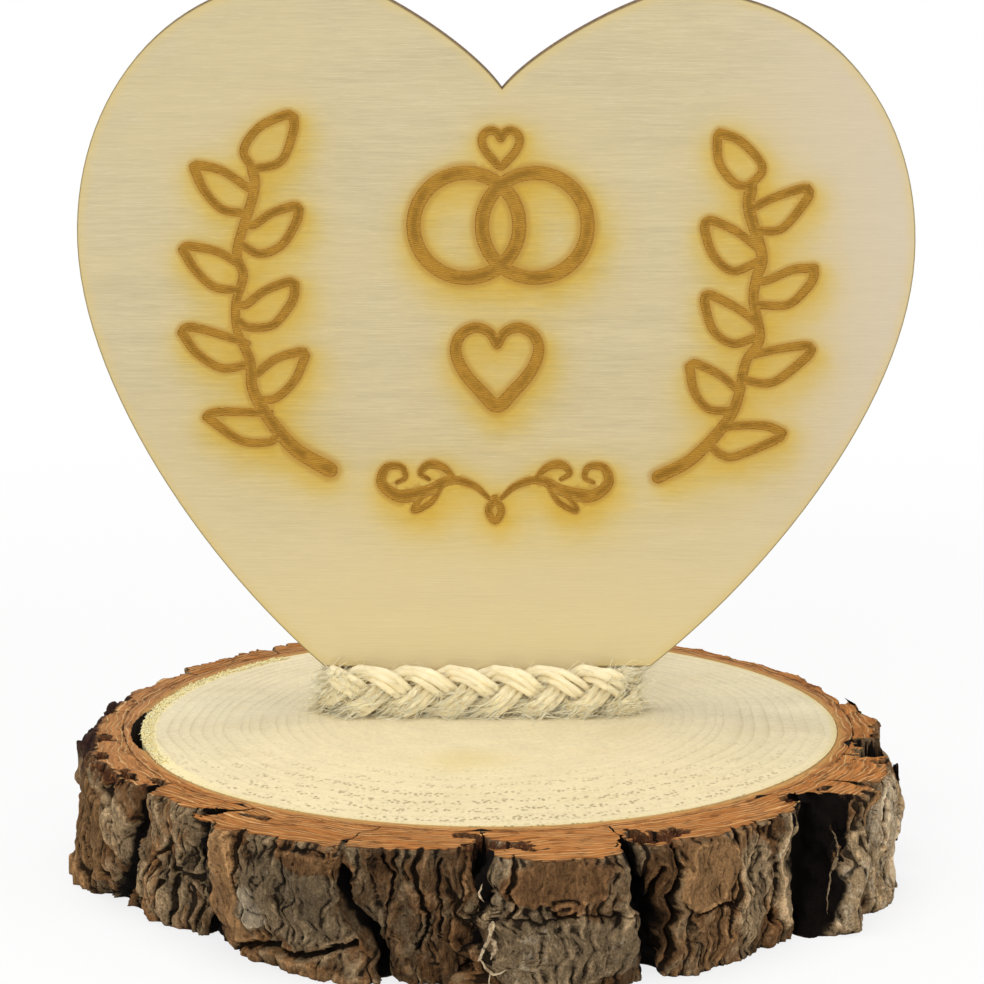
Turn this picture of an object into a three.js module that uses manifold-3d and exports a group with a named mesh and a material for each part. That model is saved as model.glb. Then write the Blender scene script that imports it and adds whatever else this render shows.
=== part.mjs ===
// A rustic cake topper: a laser-cut plywood heart stands in a slot across a slice of a small log
// that keeps its bark, and a three-strand braid of hemp cord is wrapped round the heart's foot.
// Millimetres, +Z up, front towards -Y. The origin is the centre of the slice's underside.

import * as THREE from 'three';
import { mergeVertices } from 'three/addons/utils/BufferGeometryUtils.js';
import Module from 'manifold-3d';

const wasm = await Module();
wasm.setup();

// Shared clearances
const seatGap = 0.3;
const cutOverrun = 1;
const weldTolerance = 1e-4;

// Log slice
const sliceThickness = 19;
const woodRadius = 50.2;
const woodWobble = 0.35;
const woodSides = 96;

// Swellings of the log: how many a round, the turn that they start at and their part of the wobble.
const woodSwellingShares = [
  [2, 0.11, 0.6],
  [5, 0.32, 0.4],
];

// Inner bark, dried away from the wood over one stretch of its round
const innerBarkThickness = 1.9;
const shrinkGap = 1.1;
const shrinkTurn = 0.475;
const shrinkSpanShare = 0.035;
const innerBarkSides = 108;

// Outer bark: plates of cork between fissures that narrow down to the inner bark
const barkDepth = 15;
const ridgeHeight = 0.5;
const ridgePitch = 6.6;
const fissureMeander = 0.8;
const plateShoulderShare = 0.2;
const plateShoulderWidth = 2.4;
const plateColumnWidth = 1.7;
const plateLeastColumns = 4;
const plateRowShares = [0, 0.1, 0.22, 0.36, 0.5, 0.64, 0.78, 0.9, 1];
const crackLipShare = 0.02;
const crackClearShare = 0.09;

// Waves of a fissure up the slice: how many up it, how many round the log, their part of the meander.
const meanderWaveShares = [
  [1.2, 17, 0.65],
  [0.8, 6, 0.35],
];

// Waves of a plate's face: how many in a ridge pitch across it, how many up it, the turn that they
// move on by from plate to plate, and their part of the ridges.
const ridgeWaveShares = [
  [1, 0.3, 0.33, 1],
  [0.25, 1.4, 0.17, 0.6],
];

// Each plate at the top and at the foot of the slice: the turns where its face starts and ends, and
// its depth there as shares of the bark's. A crack across it gives its height as a share of the
// slice's, and how far the cork below it stands back as a share of the plate's depth.
const barkPlateShares = [
  { top: [0.978, 1.034, 0.35, 0.27], foot: [0.976, 1.036, 0.42, 0.28] },
  { top: [1.038, 1.123, 0.13, 0.16], foot: [1.04, 1.121, 0.18, 0.14], crack: [0.6, 0.25] },
  { top: [1.127, 1.219, 0.17, 0.23], foot: [1.125, 1.22, 0.14, 0.2] },
  { top: [1.223, 1.29, 0.25, 0.28], foot: [1.225, 1.288, 0.22, 0.3], crack: [0.4, 0.2] },
  { top: [1.294, 1.353, 0.27, 0.32], foot: [1.293, 1.35, 0.3, 0.34] },
  { top: [1.357, 1.405, 0.38, 0.3], foot: [1.355, 1.407, 0.42, 0.33], crack: [0.5, 0.15] },
  { top: [1.41, 1.475, 0.3, 0.38], foot: [1.412, 1.474, 0.27, 0.4] },
  { top: [1.479, 1.522, 0.37, 0.42], foot: [1.478, 1.524, 0.36, 0.42], crack: [0.68, -0.08] },
  { top: [1.527, 1.588, 0.5, 0.44], foot: [1.529, 1.583, 0.56, 0.46] },
  { top: [1.596, 1.643, 0.34, 0.5], foot: [1.592, 1.622, 0.4, 0.2], crack: [0.45, 0.16] },
  { top: [1.649, 1.702, 0.72, 0.82], foot: [1.63, 1.711, 0.25, 0.82], crack: [0.24, 0.07] },
  { top: [1.706, 1.742, 0.8, 0.58], foot: [1.716, 1.742, 0.56, 0.42] },
  { top: [1.752, 1.797, 0.97, 1], foot: [1.749, 1.803, 0.76, 0.7], crack: [0.56, -0.05] },
  { top: [1.806, 1.872, 0.84, 0.5], foot: [1.81, 1.872, 0.74, 0.36] },
  { top: [1.888, 1.901, 0.78, 0.76], foot: [1.885, 1.9, 0.66, 0.76] },
  { top: [1.906, 1.966, 0.7, 0.46], foot: [1.906, 1.966, 0.67, 0.5], crack: [0.42, 0.06] },
];

// Heart, three plies of basswood
const faceVeneer = 0.75;
const corePly = 1.5;
const heartWidth = 120.3;
const heartHeight = 101.4;
const heartLean = 2.1;
const heartSegments = 28;
const plaqueX = -1.3;
const plaqueY = 8.75;

// One half of the heart from its cleft to its foot: the first point, then three curves, each as two
// handles and an end. Across as shares of half the width, up as shares of the height.
const cleftShares = [0, 0.853];
const heartCurveShares = [
  [[0.077, 0.915], [0.33, 1], [0.413, 1]],
  [[0.79, 1], [1, 0.833], [1, 0.636]],
  [[1, 0.415], [0.666, 0.143], [0.366, 0]],
];

// Foot of the heart: a straight tenon under two shoulders, glued into a slot in the slice. The
// curves of the outline end a little below the shoulders.
const tenonWidth = 35;
const slotDepth = 7;
const curveEndDrop = 1.5;

// Braid of three strands round the tenon
const strandWidth = 2.1;
const strandThickness = 1.6;
const braidSwing = 2.1;
const braidWeave = 1.25;
const braidPitch = 19;
const braidButtGap = 0.5;
const strandSides = 8;
const stepsPerPitch = 18;

// Sizes that follow from those above
const woodRound = 2 * Math.PI * woodRadius;
const plaqueThickness = 2 * faceVeneer + corePly;
const braidHeight = 2 * braidSwing + strandWidth;
const shoulderHeight = seatGap + braidHeight + seatGap;
const wrapRadius = plaqueThickness / 2 + seatGap + braidWeave + strandThickness / 2;
const wrapLength = 2 * tenonWidth + 2 * Math.PI * wrapRadius;

const basswoodFace = { color: 0xd9c9a4, roughness: 0.62, metalness: 0 };
const basswoodCore = { color: 0xb98d55, roughness: 0.75, metalness: 0 };
const sapwood = { color: 0xe9dab6, roughness: 0.8, metalness: 0 };
const bast = { color: 0xa5673a, roughness: 0.9, metalness: 0 };
const cork = { color: 0x6f5a49, roughness: 0.95, metalness: 0 };
const hemp = { color: 0xd8cba6, roughness: 0.92, metalness: 0 };

function merged(geometry) {
  const bare = geometry.index ? geometry.toNonIndexed() : geometry.clone();
  bare.deleteAttribute('normal');
  bare.deleteAttribute('uv');
  return mergeVertices(bare, weldTolerance);
}

function solidOf(geometry) {
  const { index, attributes } = merged(geometry);
  return new wasm.Manifold(new wasm.Mesh({
    numProp: 3,
    vertProperties: attributes.position.array,
    triVerts: new Uint32Array(index.array),
  }));
}

function geometryOf(solid) {
  const mesh = solid.getMesh();
  const geometry = new THREE.BufferGeometry();
  geometry.setAttribute('position', new THREE.BufferAttribute(mesh.vertProperties, 3));
  geometry.setIndex(new THREE.BufferAttribute(mesh.triVerts, 1));
  return geometry;
}

function piece(name, geometry, finish) {
  geometry.computeVertexNormals();
  const mesh = new THREE.Mesh(geometry, new THREE.MeshStandardMaterial(finish));
  mesh.name = name;
  return mesh;
}

// Joins cross-sections, each a ring of as many points, into one closed solid. A closed loft runs
// back into its first section, and an open one ends in caps triangulated over the flat capOutline.
function loft(sections, { closed = false, capOutline = null } = {}) {
  const around = sections[0].length;
  const indices = [];
  const spans = closed ? sections.length : sections.length - 1;
  for (let i = 0; i < spans; i++) {
    const here = i * around;
    const next = ((i + 1) % sections.length) * around;
    for (let j = 0; j < around; j++) {
      const k = (j + 1) % around;
      indices.push(here + j, next + j, next + k, here + j, next + k, here + k);
    }
  }
  if (!closed) {
    const last = (sections.length - 1) * around;
    for (const [a, b, c] of THREE.ShapeUtils.triangulateShape(capOutline(0), [])) {
      indices.push(a, b, c);
    }
    for (const [a, b, c] of THREE.ShapeUtils.triangulateShape(capOutline(sections.length - 1), [])) {
      indices.push(last + a, last + c, last + b);
    }
  }
  const geometry = new THREE.BufferGeometry().setFromPoints(sections.flat());
  geometry.setIndex(indices);
  return geometry;
}

const angleOf = (turn) => turn * 2 * Math.PI;
const between = (start, end, share) => start + (end - start) * share;

function polar(radius, turn, z) {
  return new THREE.Vector3(radius * Math.cos(angleOf(turn)), radius * Math.sin(angleOf(turn)), z);
}

// Log slice
function woodRadiusAt(turn) {
  let swelling = 0;
  for (const [count, start, share] of woodSwellingShares) {
    swelling += share * Math.sin(angleOf(count * turn + start));
  }
  return woodRadius + woodWobble * swelling;
}

function shrinkAt(turn) {
  const away = (((turn - shrinkTurn) % 1) + 1.5) % 1 - 0.5;
  return shrinkGap * Math.exp(-((away / shrinkSpanShare) ** 2));
}

const innerBarkInside = (turn) => woodRadiusAt(turn) + seatGap + shrinkAt(turn);
const innerBarkOutside = (turn) => innerBarkInside(turn) + innerBarkThickness;

function woodDisc() {
  const outline = [];
  for (let i = 0; i < woodSides; i++) {
    const { x, y } = polar(woodRadiusAt(i / woodSides), i / woodSides, 0);
    outline.push(new THREE.Vector2(x, y));
  }
  const disc = new THREE.ExtrudeGeometry(new THREE.Shape(outline), {
    depth: sliceThickness,
    bevelEnabled: false,
  });
  const slotHeight = slotDepth + cutOverrun;
  const slot = new THREE.BoxGeometry(
    tenonWidth + 2 * seatGap,
    plaqueThickness + 2 * seatGap,
    slotHeight,
  );
  slot.translate(plaqueX, plaqueY, sliceThickness - slotDepth + slotHeight / 2);
  return geometryOf(solidOf(disc).subtract(solidOf(slot)));
}

function innerBark() {
  const sections = [];
  for (let i = 0; i < innerBarkSides; i++) {
    const turn = i / innerBarkSides;
    const inside = innerBarkInside(turn);
    const outside = innerBarkOutside(turn);
    sections.push([
      polar(inside, turn, 0),
      polar(outside, turn, 0),
      polar(outside, turn, sliceThickness),
      polar(inside, turn, sliceThickness),
    ]);
  }
  return loft(sections, { closed: true });
}

// Outer bark
// A fissure lies between two plates. Its root is the line midway between their faces, and it gives
// that line's turn at a height, with the meander that both of its walls follow.
function fissureBetween(before, after, turnsApart) {
  const top = (before.top[1] + after.top[0] + turnsApart) / 2;
  const foot = (before.foot[1] + after.foot[0] + turnsApart) / 2;
  function meanderAt(rise) {
    let wave = 0;
    for (const [up, round, share] of meanderWaveShares) {
      wave += share * Math.sin(angleOf(up * rise + round * top));
    }
    return (fissureMeander * wave) / woodRound;
  }
  return { meanderAt, rootAt: (rise) => between(foot, top, rise) + meanderAt(rise) };
}

function barkPlate(number, plate, fissureBefore, fissureAfter) {
  const { top, foot, crack: [crackHeight, stepBack] = [0, 0] } = plate;
  const width = (top[1] - top[0]) * woodRound;
  const columns = Math.max(plateLeastColumns, Math.round(width / plateColumnWidth));
  const rootHalf = seatGap / 2 / woodRound;

  function seatTurnAt(u, rise) {
    return between(fissureBefore.rootAt(rise) + rootHalf, fissureAfter.rootAt(rise) - rootHalf, u);
  }

  function faceTurnAt(u, rise) {
    const start = between(foot[0], top[0], rise) + fissureBefore.meanderAt(rise);
    const end = between(foot[1], top[1], rise) + fissureAfter.meanderAt(rise);
    return between(start, end, u);
  }

  function depthAt(u, rise) {
    const share = between(between(foot[2], foot[3], u), between(top[2], top[3], u), rise);
    const fromEdge = Math.min(u, 1 - u) * width;
    const shoulder = Math.max(0, 1 - fromEdge / plateShoulderWidth) ** 2;
    let ridges = 0;
    for (const [across, up, start, part] of ridgeWaveShares) {
      ridges += part * Math.sin(angleOf((across * u * width) / ridgePitch + up * rise + start * number));
    }
    const setBack = rise < crackHeight ? stepBack : 0;
    return barkDepth * share * (1 - plateShoulderShare * shoulder - setBack) + ridgeHeight * ridges;
  }

  // Rows near a cross crack give way to two rows at its lip, so that its step stays sharp.
  const clear = crackHeight ? crackClearShare : 0;
  const rises = plateRowShares.filter((rise) => Math.abs(rise - crackHeight) >= clear);
  if (crackHeight) rises.push(crackHeight - crackLipShare, crackHeight);
  rises.sort((a, b) => a - b);

  const sections = [];
  const outlines = [];
  for (let i = 0; i <= columns; i++) {
    const u = i / columns;
    const section = [];
    const outline = [];
    for (const rise of [1, 0]) {
      const turn = seatTurnAt(u, rise);
      const radius = innerBarkOutside(turn) + seatGap;
      section.push(polar(radius, turn, rise * sliceThickness));
      outline.push(new THREE.Vector2(radius, rise * sliceThickness));
    }
    for (const rise of rises) {
      const turn = faceTurnAt(u, rise);
      const radius = innerBarkOutside(turn) + seatGap + depthAt(u, rise);
      section.push(polar(radius, turn, rise * sliceThickness));
      outline.push(new THREE.Vector2(radius, rise * sliceThickness));
    }
    sections.push(section);
    outlines.push(outline);
  }
  return loft(sections, { capOutline: (i) => outlines[i] });
}

function barkPlates() {
  const count = barkPlateShares.length;
  const fissures = barkPlateShares.map((plate, i) => (
    fissureBetween(plate, barkPlateShares[(i + 1) % count], i + 1 === count ? 1 : 0)
  ));
  const last = fissures[count - 1];
  const lastATurnBack = { meanderAt: last.meanderAt, rootAt: (rise) => last.rootAt(rise) - 1 };
  return barkPlateShares.map((plate, i) => (
    barkPlate(i + 1, plate, i > 0 ? fissures[i - 1] : lastATurnBack, fissures[i])
  ));
}

// Plywood heart
// The whole outline, with the lower ends of its curves at height zero. From there its edges run
// straight on, as far as the braid is high.
function heartShape() {
  const place = (side, [across, up]) => [(side * across * heartWidth) / 2, up * heartHeight];
  const starts = [cleftShares, ...heartCurveShares.map((curve) => curve[2])];
  const [, lastHandle, curveEnd] = heartCurveShares[heartCurveShares.length - 1];
  const [handleX, handleY] = place(1, lastHandle);
  const [endX, endY] = place(1, curveEnd);
  const footX = endX - ((handleX - endX) / (handleY - endY)) * braidHeight;

  const shape = new THREE.Shape();
  shape.moveTo(...place(1, cleftShares));
  for (const [first, second, end] of heartCurveShares) {
    shape.bezierCurveTo(...place(1, first), ...place(1, second), ...place(1, end));
  }
  shape.lineTo(footX, endY - braidHeight);
  shape.lineTo(-footX, endY - braidHeight);
  shape.lineTo(-endX, endY);
  for (let i = heartCurveShares.length - 1; i >= 0; i--) {
    const [first, second] = heartCurveShares[i];
    shape.bezierCurveTo(...place(-1, second), ...place(-1, first), ...place(-1, starts[i]));
  }
  return shape;
}

// One ply between two depths. The heart leans as it was glued, its shoulders are cut level with the
// slice, and the tenon goes straight down below them.
function heartPly(front, back) {
  const thickness = back - front;
  const leaf = new THREE.ExtrudeGeometry(heartShape(), {
    depth: thickness,
    bevelEnabled: false,
    curveSegments: heartSegments,
  });
  leaf.rotateZ(-THREE.MathUtils.degToRad(heartLean));
  leaf.translate(0, shoulderHeight - curveEndDrop, 0);
  const reach = heartWidth + heartHeight;
  const above = new THREE.BoxGeometry(2 * reach, reach, 2 * reach);
  above.translate(0, shoulderHeight + reach / 2, 0);
  const tenonTop = shoulderHeight + cutOverrun;
  const tenonBottom = seatGap - slotDepth;
  const tenon = new THREE.BoxGeometry(tenonWidth, tenonTop - tenonBottom, thickness);
  tenon.translate(0, (tenonTop + tenonBottom) / 2, thickness / 2);
  const geometry = geometryOf(solidOf(leaf).intersect(solidOf(above)).add(solidOf(tenon)));
  geometry.rotateX(Math.PI / 2);
  geometry.translate(0, back, 0);
  return geometry;
}

// Braid
// The line that the braid follows round the tenon: two straight runs and two half circles. It
// starts behind the middle of the tenon, and gives a place and the direction out of the heart.
function wrapAt(distance) {
  const run = tenonWidth;
  const bend = Math.PI * wrapRadius;
  let along = (((distance + run / 2) % wrapLength) + wrapLength) % wrapLength;
  if (along < run) return { x: run / 2 - along, y: wrapRadius, outX: 0, outY: 1 };
  along -= run;
  if (along < bend) return bendAt(-run / 2, Math.PI / 2 + along / wrapRadius);
  along -= bend;
  if (along < run) return { x: along - run / 2, y: -wrapRadius, outX: 0, outY: -1 };
  along -= run;
  return bendAt(run / 2, -Math.PI / 2 + along / wrapRadius);
}

function bendAt(centreX, angle) {
  const outX = Math.cos(angle);
  const outY = Math.sin(angle);
  return { x: centreX + wrapRadius * outX, y: wrapRadius * outY, outX, outY };
}

// A strand swings up and down once a pitch, and weaves in and out twice as often.
function strand(phase) {
  const pitches = Math.round(wrapLength / braidPitch);
  const steps = pitches * stepsPerPitch;
  const midHeight = seatGap + braidHeight / 2;

  function centreAt(distance) {
    const path = wrapAt(distance);
    const swing = angleOf((pitches * distance) / wrapLength + phase);
    const out = braidWeave * Math.sin(2 * swing);
    return new THREE.Vector3(
      path.x + path.outX * out,
      path.y + path.outY * out,
      midHeight + braidSwing * Math.cos(swing),
    );
  }

  const sections = [];
  const outlines = [];
  const step = (wrapLength - braidButtGap) / steps;
  for (let i = 0; i <= steps; i++) {
    const distance = braidButtGap / 2 + i * step;
    const centre = centreAt(distance);
    const along = centreAt(distance + step / 4).sub(centreAt(distance - step / 4)).normalize();
    const path = wrapAt(distance);
    const out = new THREE.Vector3(path.outX, path.outY, 0);
    out.addScaledVector(along, -out.dot(along)).normalize();
    const across = new THREE.Vector3().crossVectors(out, along);
    const section = [];
    const outline = [];
    for (let j = 0; j < strandSides; j++) {
      const angle = angleOf(j / strandSides);
      const u = (strandThickness / 2) * Math.cos(angle);
      const v = (strandWidth / 2) * Math.sin(angle);
      section.push(centre.clone().addScaledVector(out, u).addScaledVector(across, v));
      outline.push(new THREE.Vector2(u, v));
    }
    sections.push(section);
    outlines.push(outline);
  }
  return loft(sections, { capOutline: (i) => outlines[i] });
}

// Assembly
const topper = new THREE.Group();

const slice = new THREE.Group();
slice.add(piece('wood_disc', woodDisc(), sapwood));
slice.add(piece('inner_bark', innerBark(), bast));
barkPlates().forEach((geometry, i) => {
  slice.add(piece(`bark_plate_${String(i + 1).padStart(2, '0')}`, geometry, cork));
});
topper.add(slice);

const plaque = new THREE.Group();
const frontFace = -plaqueThickness / 2;
const coreFront = frontFace + faceVeneer;
const coreBack = coreFront + corePly;
plaque.add(piece('heart_front_veneer', heartPly(frontFace, coreFront), basswoodFace));
plaque.add(piece('heart_core_ply', heartPly(coreFront, coreBack), basswoodCore));
plaque.add(piece('heart_back_veneer', heartPly(coreBack, coreBack + faceVeneer), basswoodFace));
plaque.position.set(plaqueX, plaqueY, sliceThickness);
topper.add(plaque);

const braid = new THREE.Group();
['a', 'b', 'c'].forEach((letter, i) => {
  braid.add(piece(`braid_strand_${letter}`, strand(i / 3), hemp));
});
braid.position.copy(plaque.position);
topper.add(braid);

export default topper;
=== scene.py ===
"""Looks of a wooden cake topper: an engraved plywood heart on a slice of log, its foot in a hemp braid.

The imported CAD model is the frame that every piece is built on. Sizes in the property groups are in
metres, as Blender has them, and the shapes are worked out in millimetres in the CAD frame: +Z up,
front towards -Y, the origin at the centre of the slice's underside. A place round the log is given
in turns from +X, anticlockwise seen from above, and in millimetres up the slice.
"""

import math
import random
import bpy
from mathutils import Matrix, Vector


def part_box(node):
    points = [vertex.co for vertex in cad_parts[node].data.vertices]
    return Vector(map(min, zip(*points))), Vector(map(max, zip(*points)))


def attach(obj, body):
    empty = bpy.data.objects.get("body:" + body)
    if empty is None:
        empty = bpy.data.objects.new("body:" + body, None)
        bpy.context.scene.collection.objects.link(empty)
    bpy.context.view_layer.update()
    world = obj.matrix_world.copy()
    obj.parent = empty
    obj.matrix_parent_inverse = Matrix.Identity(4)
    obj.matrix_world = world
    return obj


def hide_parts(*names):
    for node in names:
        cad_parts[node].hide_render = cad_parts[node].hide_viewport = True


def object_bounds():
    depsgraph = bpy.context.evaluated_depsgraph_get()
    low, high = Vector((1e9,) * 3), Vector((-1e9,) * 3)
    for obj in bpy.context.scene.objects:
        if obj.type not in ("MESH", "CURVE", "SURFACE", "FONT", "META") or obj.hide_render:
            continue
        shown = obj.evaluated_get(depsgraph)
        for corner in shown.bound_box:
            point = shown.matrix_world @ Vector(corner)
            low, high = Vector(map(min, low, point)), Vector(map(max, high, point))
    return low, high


bl_info = {
    "name": "Wooden Cake Topper",
    "version": (1, 0, 0),
    "blender": (4, 5, 0),
    "location": "View3D > Sidebar > Topper",
    "description": "Builds a plywood heart on a slice of log around its packed CAD model",
    "category": "Object",
}

import bmesh
import bpy
import numpy as np
from bpy.props import FloatProperty, FloatVectorProperty, IntProperty, PointerProperty
from mathutils import Vector, kdtree, noise
from mathutils.geometry import delaunay_2d_cdt

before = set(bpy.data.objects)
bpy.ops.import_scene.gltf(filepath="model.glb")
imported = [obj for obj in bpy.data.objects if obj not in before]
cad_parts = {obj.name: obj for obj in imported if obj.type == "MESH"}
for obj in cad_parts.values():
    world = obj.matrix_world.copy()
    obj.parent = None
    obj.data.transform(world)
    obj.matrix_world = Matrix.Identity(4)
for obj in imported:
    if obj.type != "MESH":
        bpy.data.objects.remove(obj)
cad_bounds = [list(corner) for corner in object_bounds()]

MM = 0.001
BODY = "root"
FULL_TURN = 2 * math.pi

# Points of a CAD mesh that are closer than this are one point
WELD = 0.001 * MM


def positive(name, description, default, **kind):
    """A number that isn't negative."""
    return FloatProperty(name=name, description=description, default=default, min=0, **kind)


def length(name, description, default):
    """A length. Its default is given in millimetres."""
    return positive(name, description, default * MM, subtype="DISTANCE", unit="LENGTH")


def whole(name, description, default, least=0):
    return IntProperty(name=name, description=description, default=default, min=least)


def colour(name, description, default):
    """A colour, in linear light."""
    limits = {"min": 0, "max": 1, "size": 3, "subtype": "COLOR"}
    return FloatVectorProperty(name=name, description=description, default=default, **limits)


# What a user would change


class StageSettings(bpy.types.PropertyGroup):
    """Floor, light and camera."""

    floor_colour: colour("Floor", "Colour of the floor", (0.94, 0.94, 0.94))
    sky_light: positive("Sky light", "Light from all round", 0.45)
    key_power: positive("Key lamp", "Power of the large lamp in front", 2.3, unit="POWER")
    top_power: positive("Top lamp", "Power of the lamp above", 2.9, unit="POWER")
    camera_distance: length("Camera distance", "From the lens to the aiming point", 600)
    camera_height: positive(
        "Camera elevation", "Angle above the horizontal that the camera looks down at",
        math.radians(12.47), subtype="ANGLE", unit="ROTATION",
    )
    camera_aim: length("Aiming height", "Height that the camera looks at", 53.7)
    camera_side: length("Camera side", "How far to the right of the origin the camera stands", 0.45)
    lens: positive("Lens", "Focal length on a 36 mm sensor", 0.1529, unit="CAMERA")


class WoodSettings(bpy.types.PropertyGroup):
    """The sawn face of the slice."""

    ring_width: length("Ring width", "Mean distance between two growth rings", 1.75)
    pith_back: length("Pith", "How far behind the slice's centre the rings start", 11)
    sapwood: colour("Sapwood", "Colour of the sawn wood", (0.86, 0.755, 0.505))
    latewood: colour("Latewood", "Colour of the thin lines that end each ring", (0.56, 0.44, 0.24))
    pore: colour("Pores", "Colour of the open pores", (0.30, 0.21, 0.08))
    stain: colour("Stain", "Colour of the tan spot in front", (0.81, 0.66, 0.29))
    rim_fibres: whole("Rim fibres", "Torn fibres along the gap between wood and bark", 1300)


class BarkSettings(bpy.types.PropertyGroup):
    """The bark round the slice."""

    cell: length("Cell", "Size of the faces that the bark in front is carved in", 0.27)
    back_cell: length("Cell behind", "Size of the faces that the bark behind is carved in", 0.45)
    flake_step: length("Flake step", "Height of the steps between two layers of flakes", 0.4)
    crack_depth: length("Crack depth", "Depth of the small cracks up the bark", 1.1)
    brown: colour("Brown cork", "Colour of sheltered cork", (0.215, 0.106, 0.042))
    orange: colour("Fresh cork", "Colour of cork where a flake has come off", (0.325, 0.178, 0.074))
    grey: colour("Weathered cork", "Colour of weathered flakes", (0.275, 0.190, 0.103))
    pale: colour("Bleached cork", "Colour of the most weathered spots", (0.48, 0.385, 0.26))
    # Painted shade: the near-black colour laid deep in the fissures, in pits, cracks and small cavities,
    # and on the inner bark's sides
    hollow: colour("Hollows", "Colour deep in the fissures", (0.005, 0.003, 0.002))
    torn: colour("Torn bark", "Colour of bark that broke out of the sawn face", (0.13, 0.048, 0.021))
    cut: colour("Sawn bark", "Colour of the bark's sawn face", (0.50, 0.195, 0.052))
    cut_line: colour("Sawn layers", "Colour of the pale layers in the sawn face", (0.88, 0.56, 0.25))
    bast: colour("Bast", "Colour of the thin layer next to the wood", (0.60, 0.34, 0.11))


class HeartSettings(bpy.types.PropertyGroup):
    """The plywood heart."""

    veneer: colour("Veneer", "Colour of the basswood veneer", (0.628, 0.53, 0.318))
    engraved: colour("Engraved", "Colour of the engraved floor", (0.58, 0.31, 0.044))
    charred: colour("Charred", "Colour of the darkest engraved spots", (0.22, 0.10, 0.010))
    smoke: positive("Smoke", "Strength of the stain that the smoke leaves round the lines", 1.0)
    burnt: colour("Burnt edge", "Colour of the edge that the laser cut", (0.20, 0.105, 0.035))
    engraving_depth: length("Engraving depth", "How deep the lines are", 0.3)
    leaf_line: length("Leaf line", "Width of the line round a leaf", 1.2)
    scan_pitch: length("Scan pitch", "Distance between two sweeps of the laser", 0.27)


class BraidSettings(bpy.types.PropertyGroup):
    """The braid of hemp cord."""

    yarn_width: length("Yarn width", "Width of one of the yarns that make up a strand", 1.12)
    yarns: whole("Yarns", "Yarns side by side in a strand", 3, least=1)
    twist_pitch: length("Twist pitch", "Distance in which a yarn turns once round itself", 5.5)
    hemp: colour("Hemp", "Colour of the cord", (1.0, 0.90, 0.62))
    # Partly the cord's own darker colour between its fibres, partly painted shade on the yarns' inner sides
    # and low on the braid
    shade: colour("Hemp shade", "Colour of the cord between its fibres", (0.76, 0.54, 0.23))
    fibres: whole("Fibres", "Fine hairs that stand off the cord", 4200)
    stalks: whole("Stalks", "Coarse fibres that stick out", 3200)


# Shader building


class Value:
    """An output of a finish's nodes. Arithmetic on it adds Math nodes."""

    def __init__(self, finish, socket):
        self.finish = finish
        self.socket = socket

    def __add__(self, other):
        return self.finish.math("ADD", self, other)

    def __sub__(self, other):
        return self.finish.math("SUBTRACT", self, other)

    def __rsub__(self, other):
        return self.finish.math("SUBTRACT", other, self)

    def __mul__(self, other):
        return self.finish.math("MULTIPLY", self, other)

    def __truediv__(self, other):
        return self.finish.math("DIVIDE", self, other)

    def __rtruediv__(self, other):
        return self.finish.math("DIVIDE", other, self)

    def __pow__(self, other):
        return self.finish.math("POWER", self, other)

    def __rpow__(self, other):
        return self.finish.math("POWER", other, self)

    __radd__ = __add__
    __rmul__ = __mul__


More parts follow.
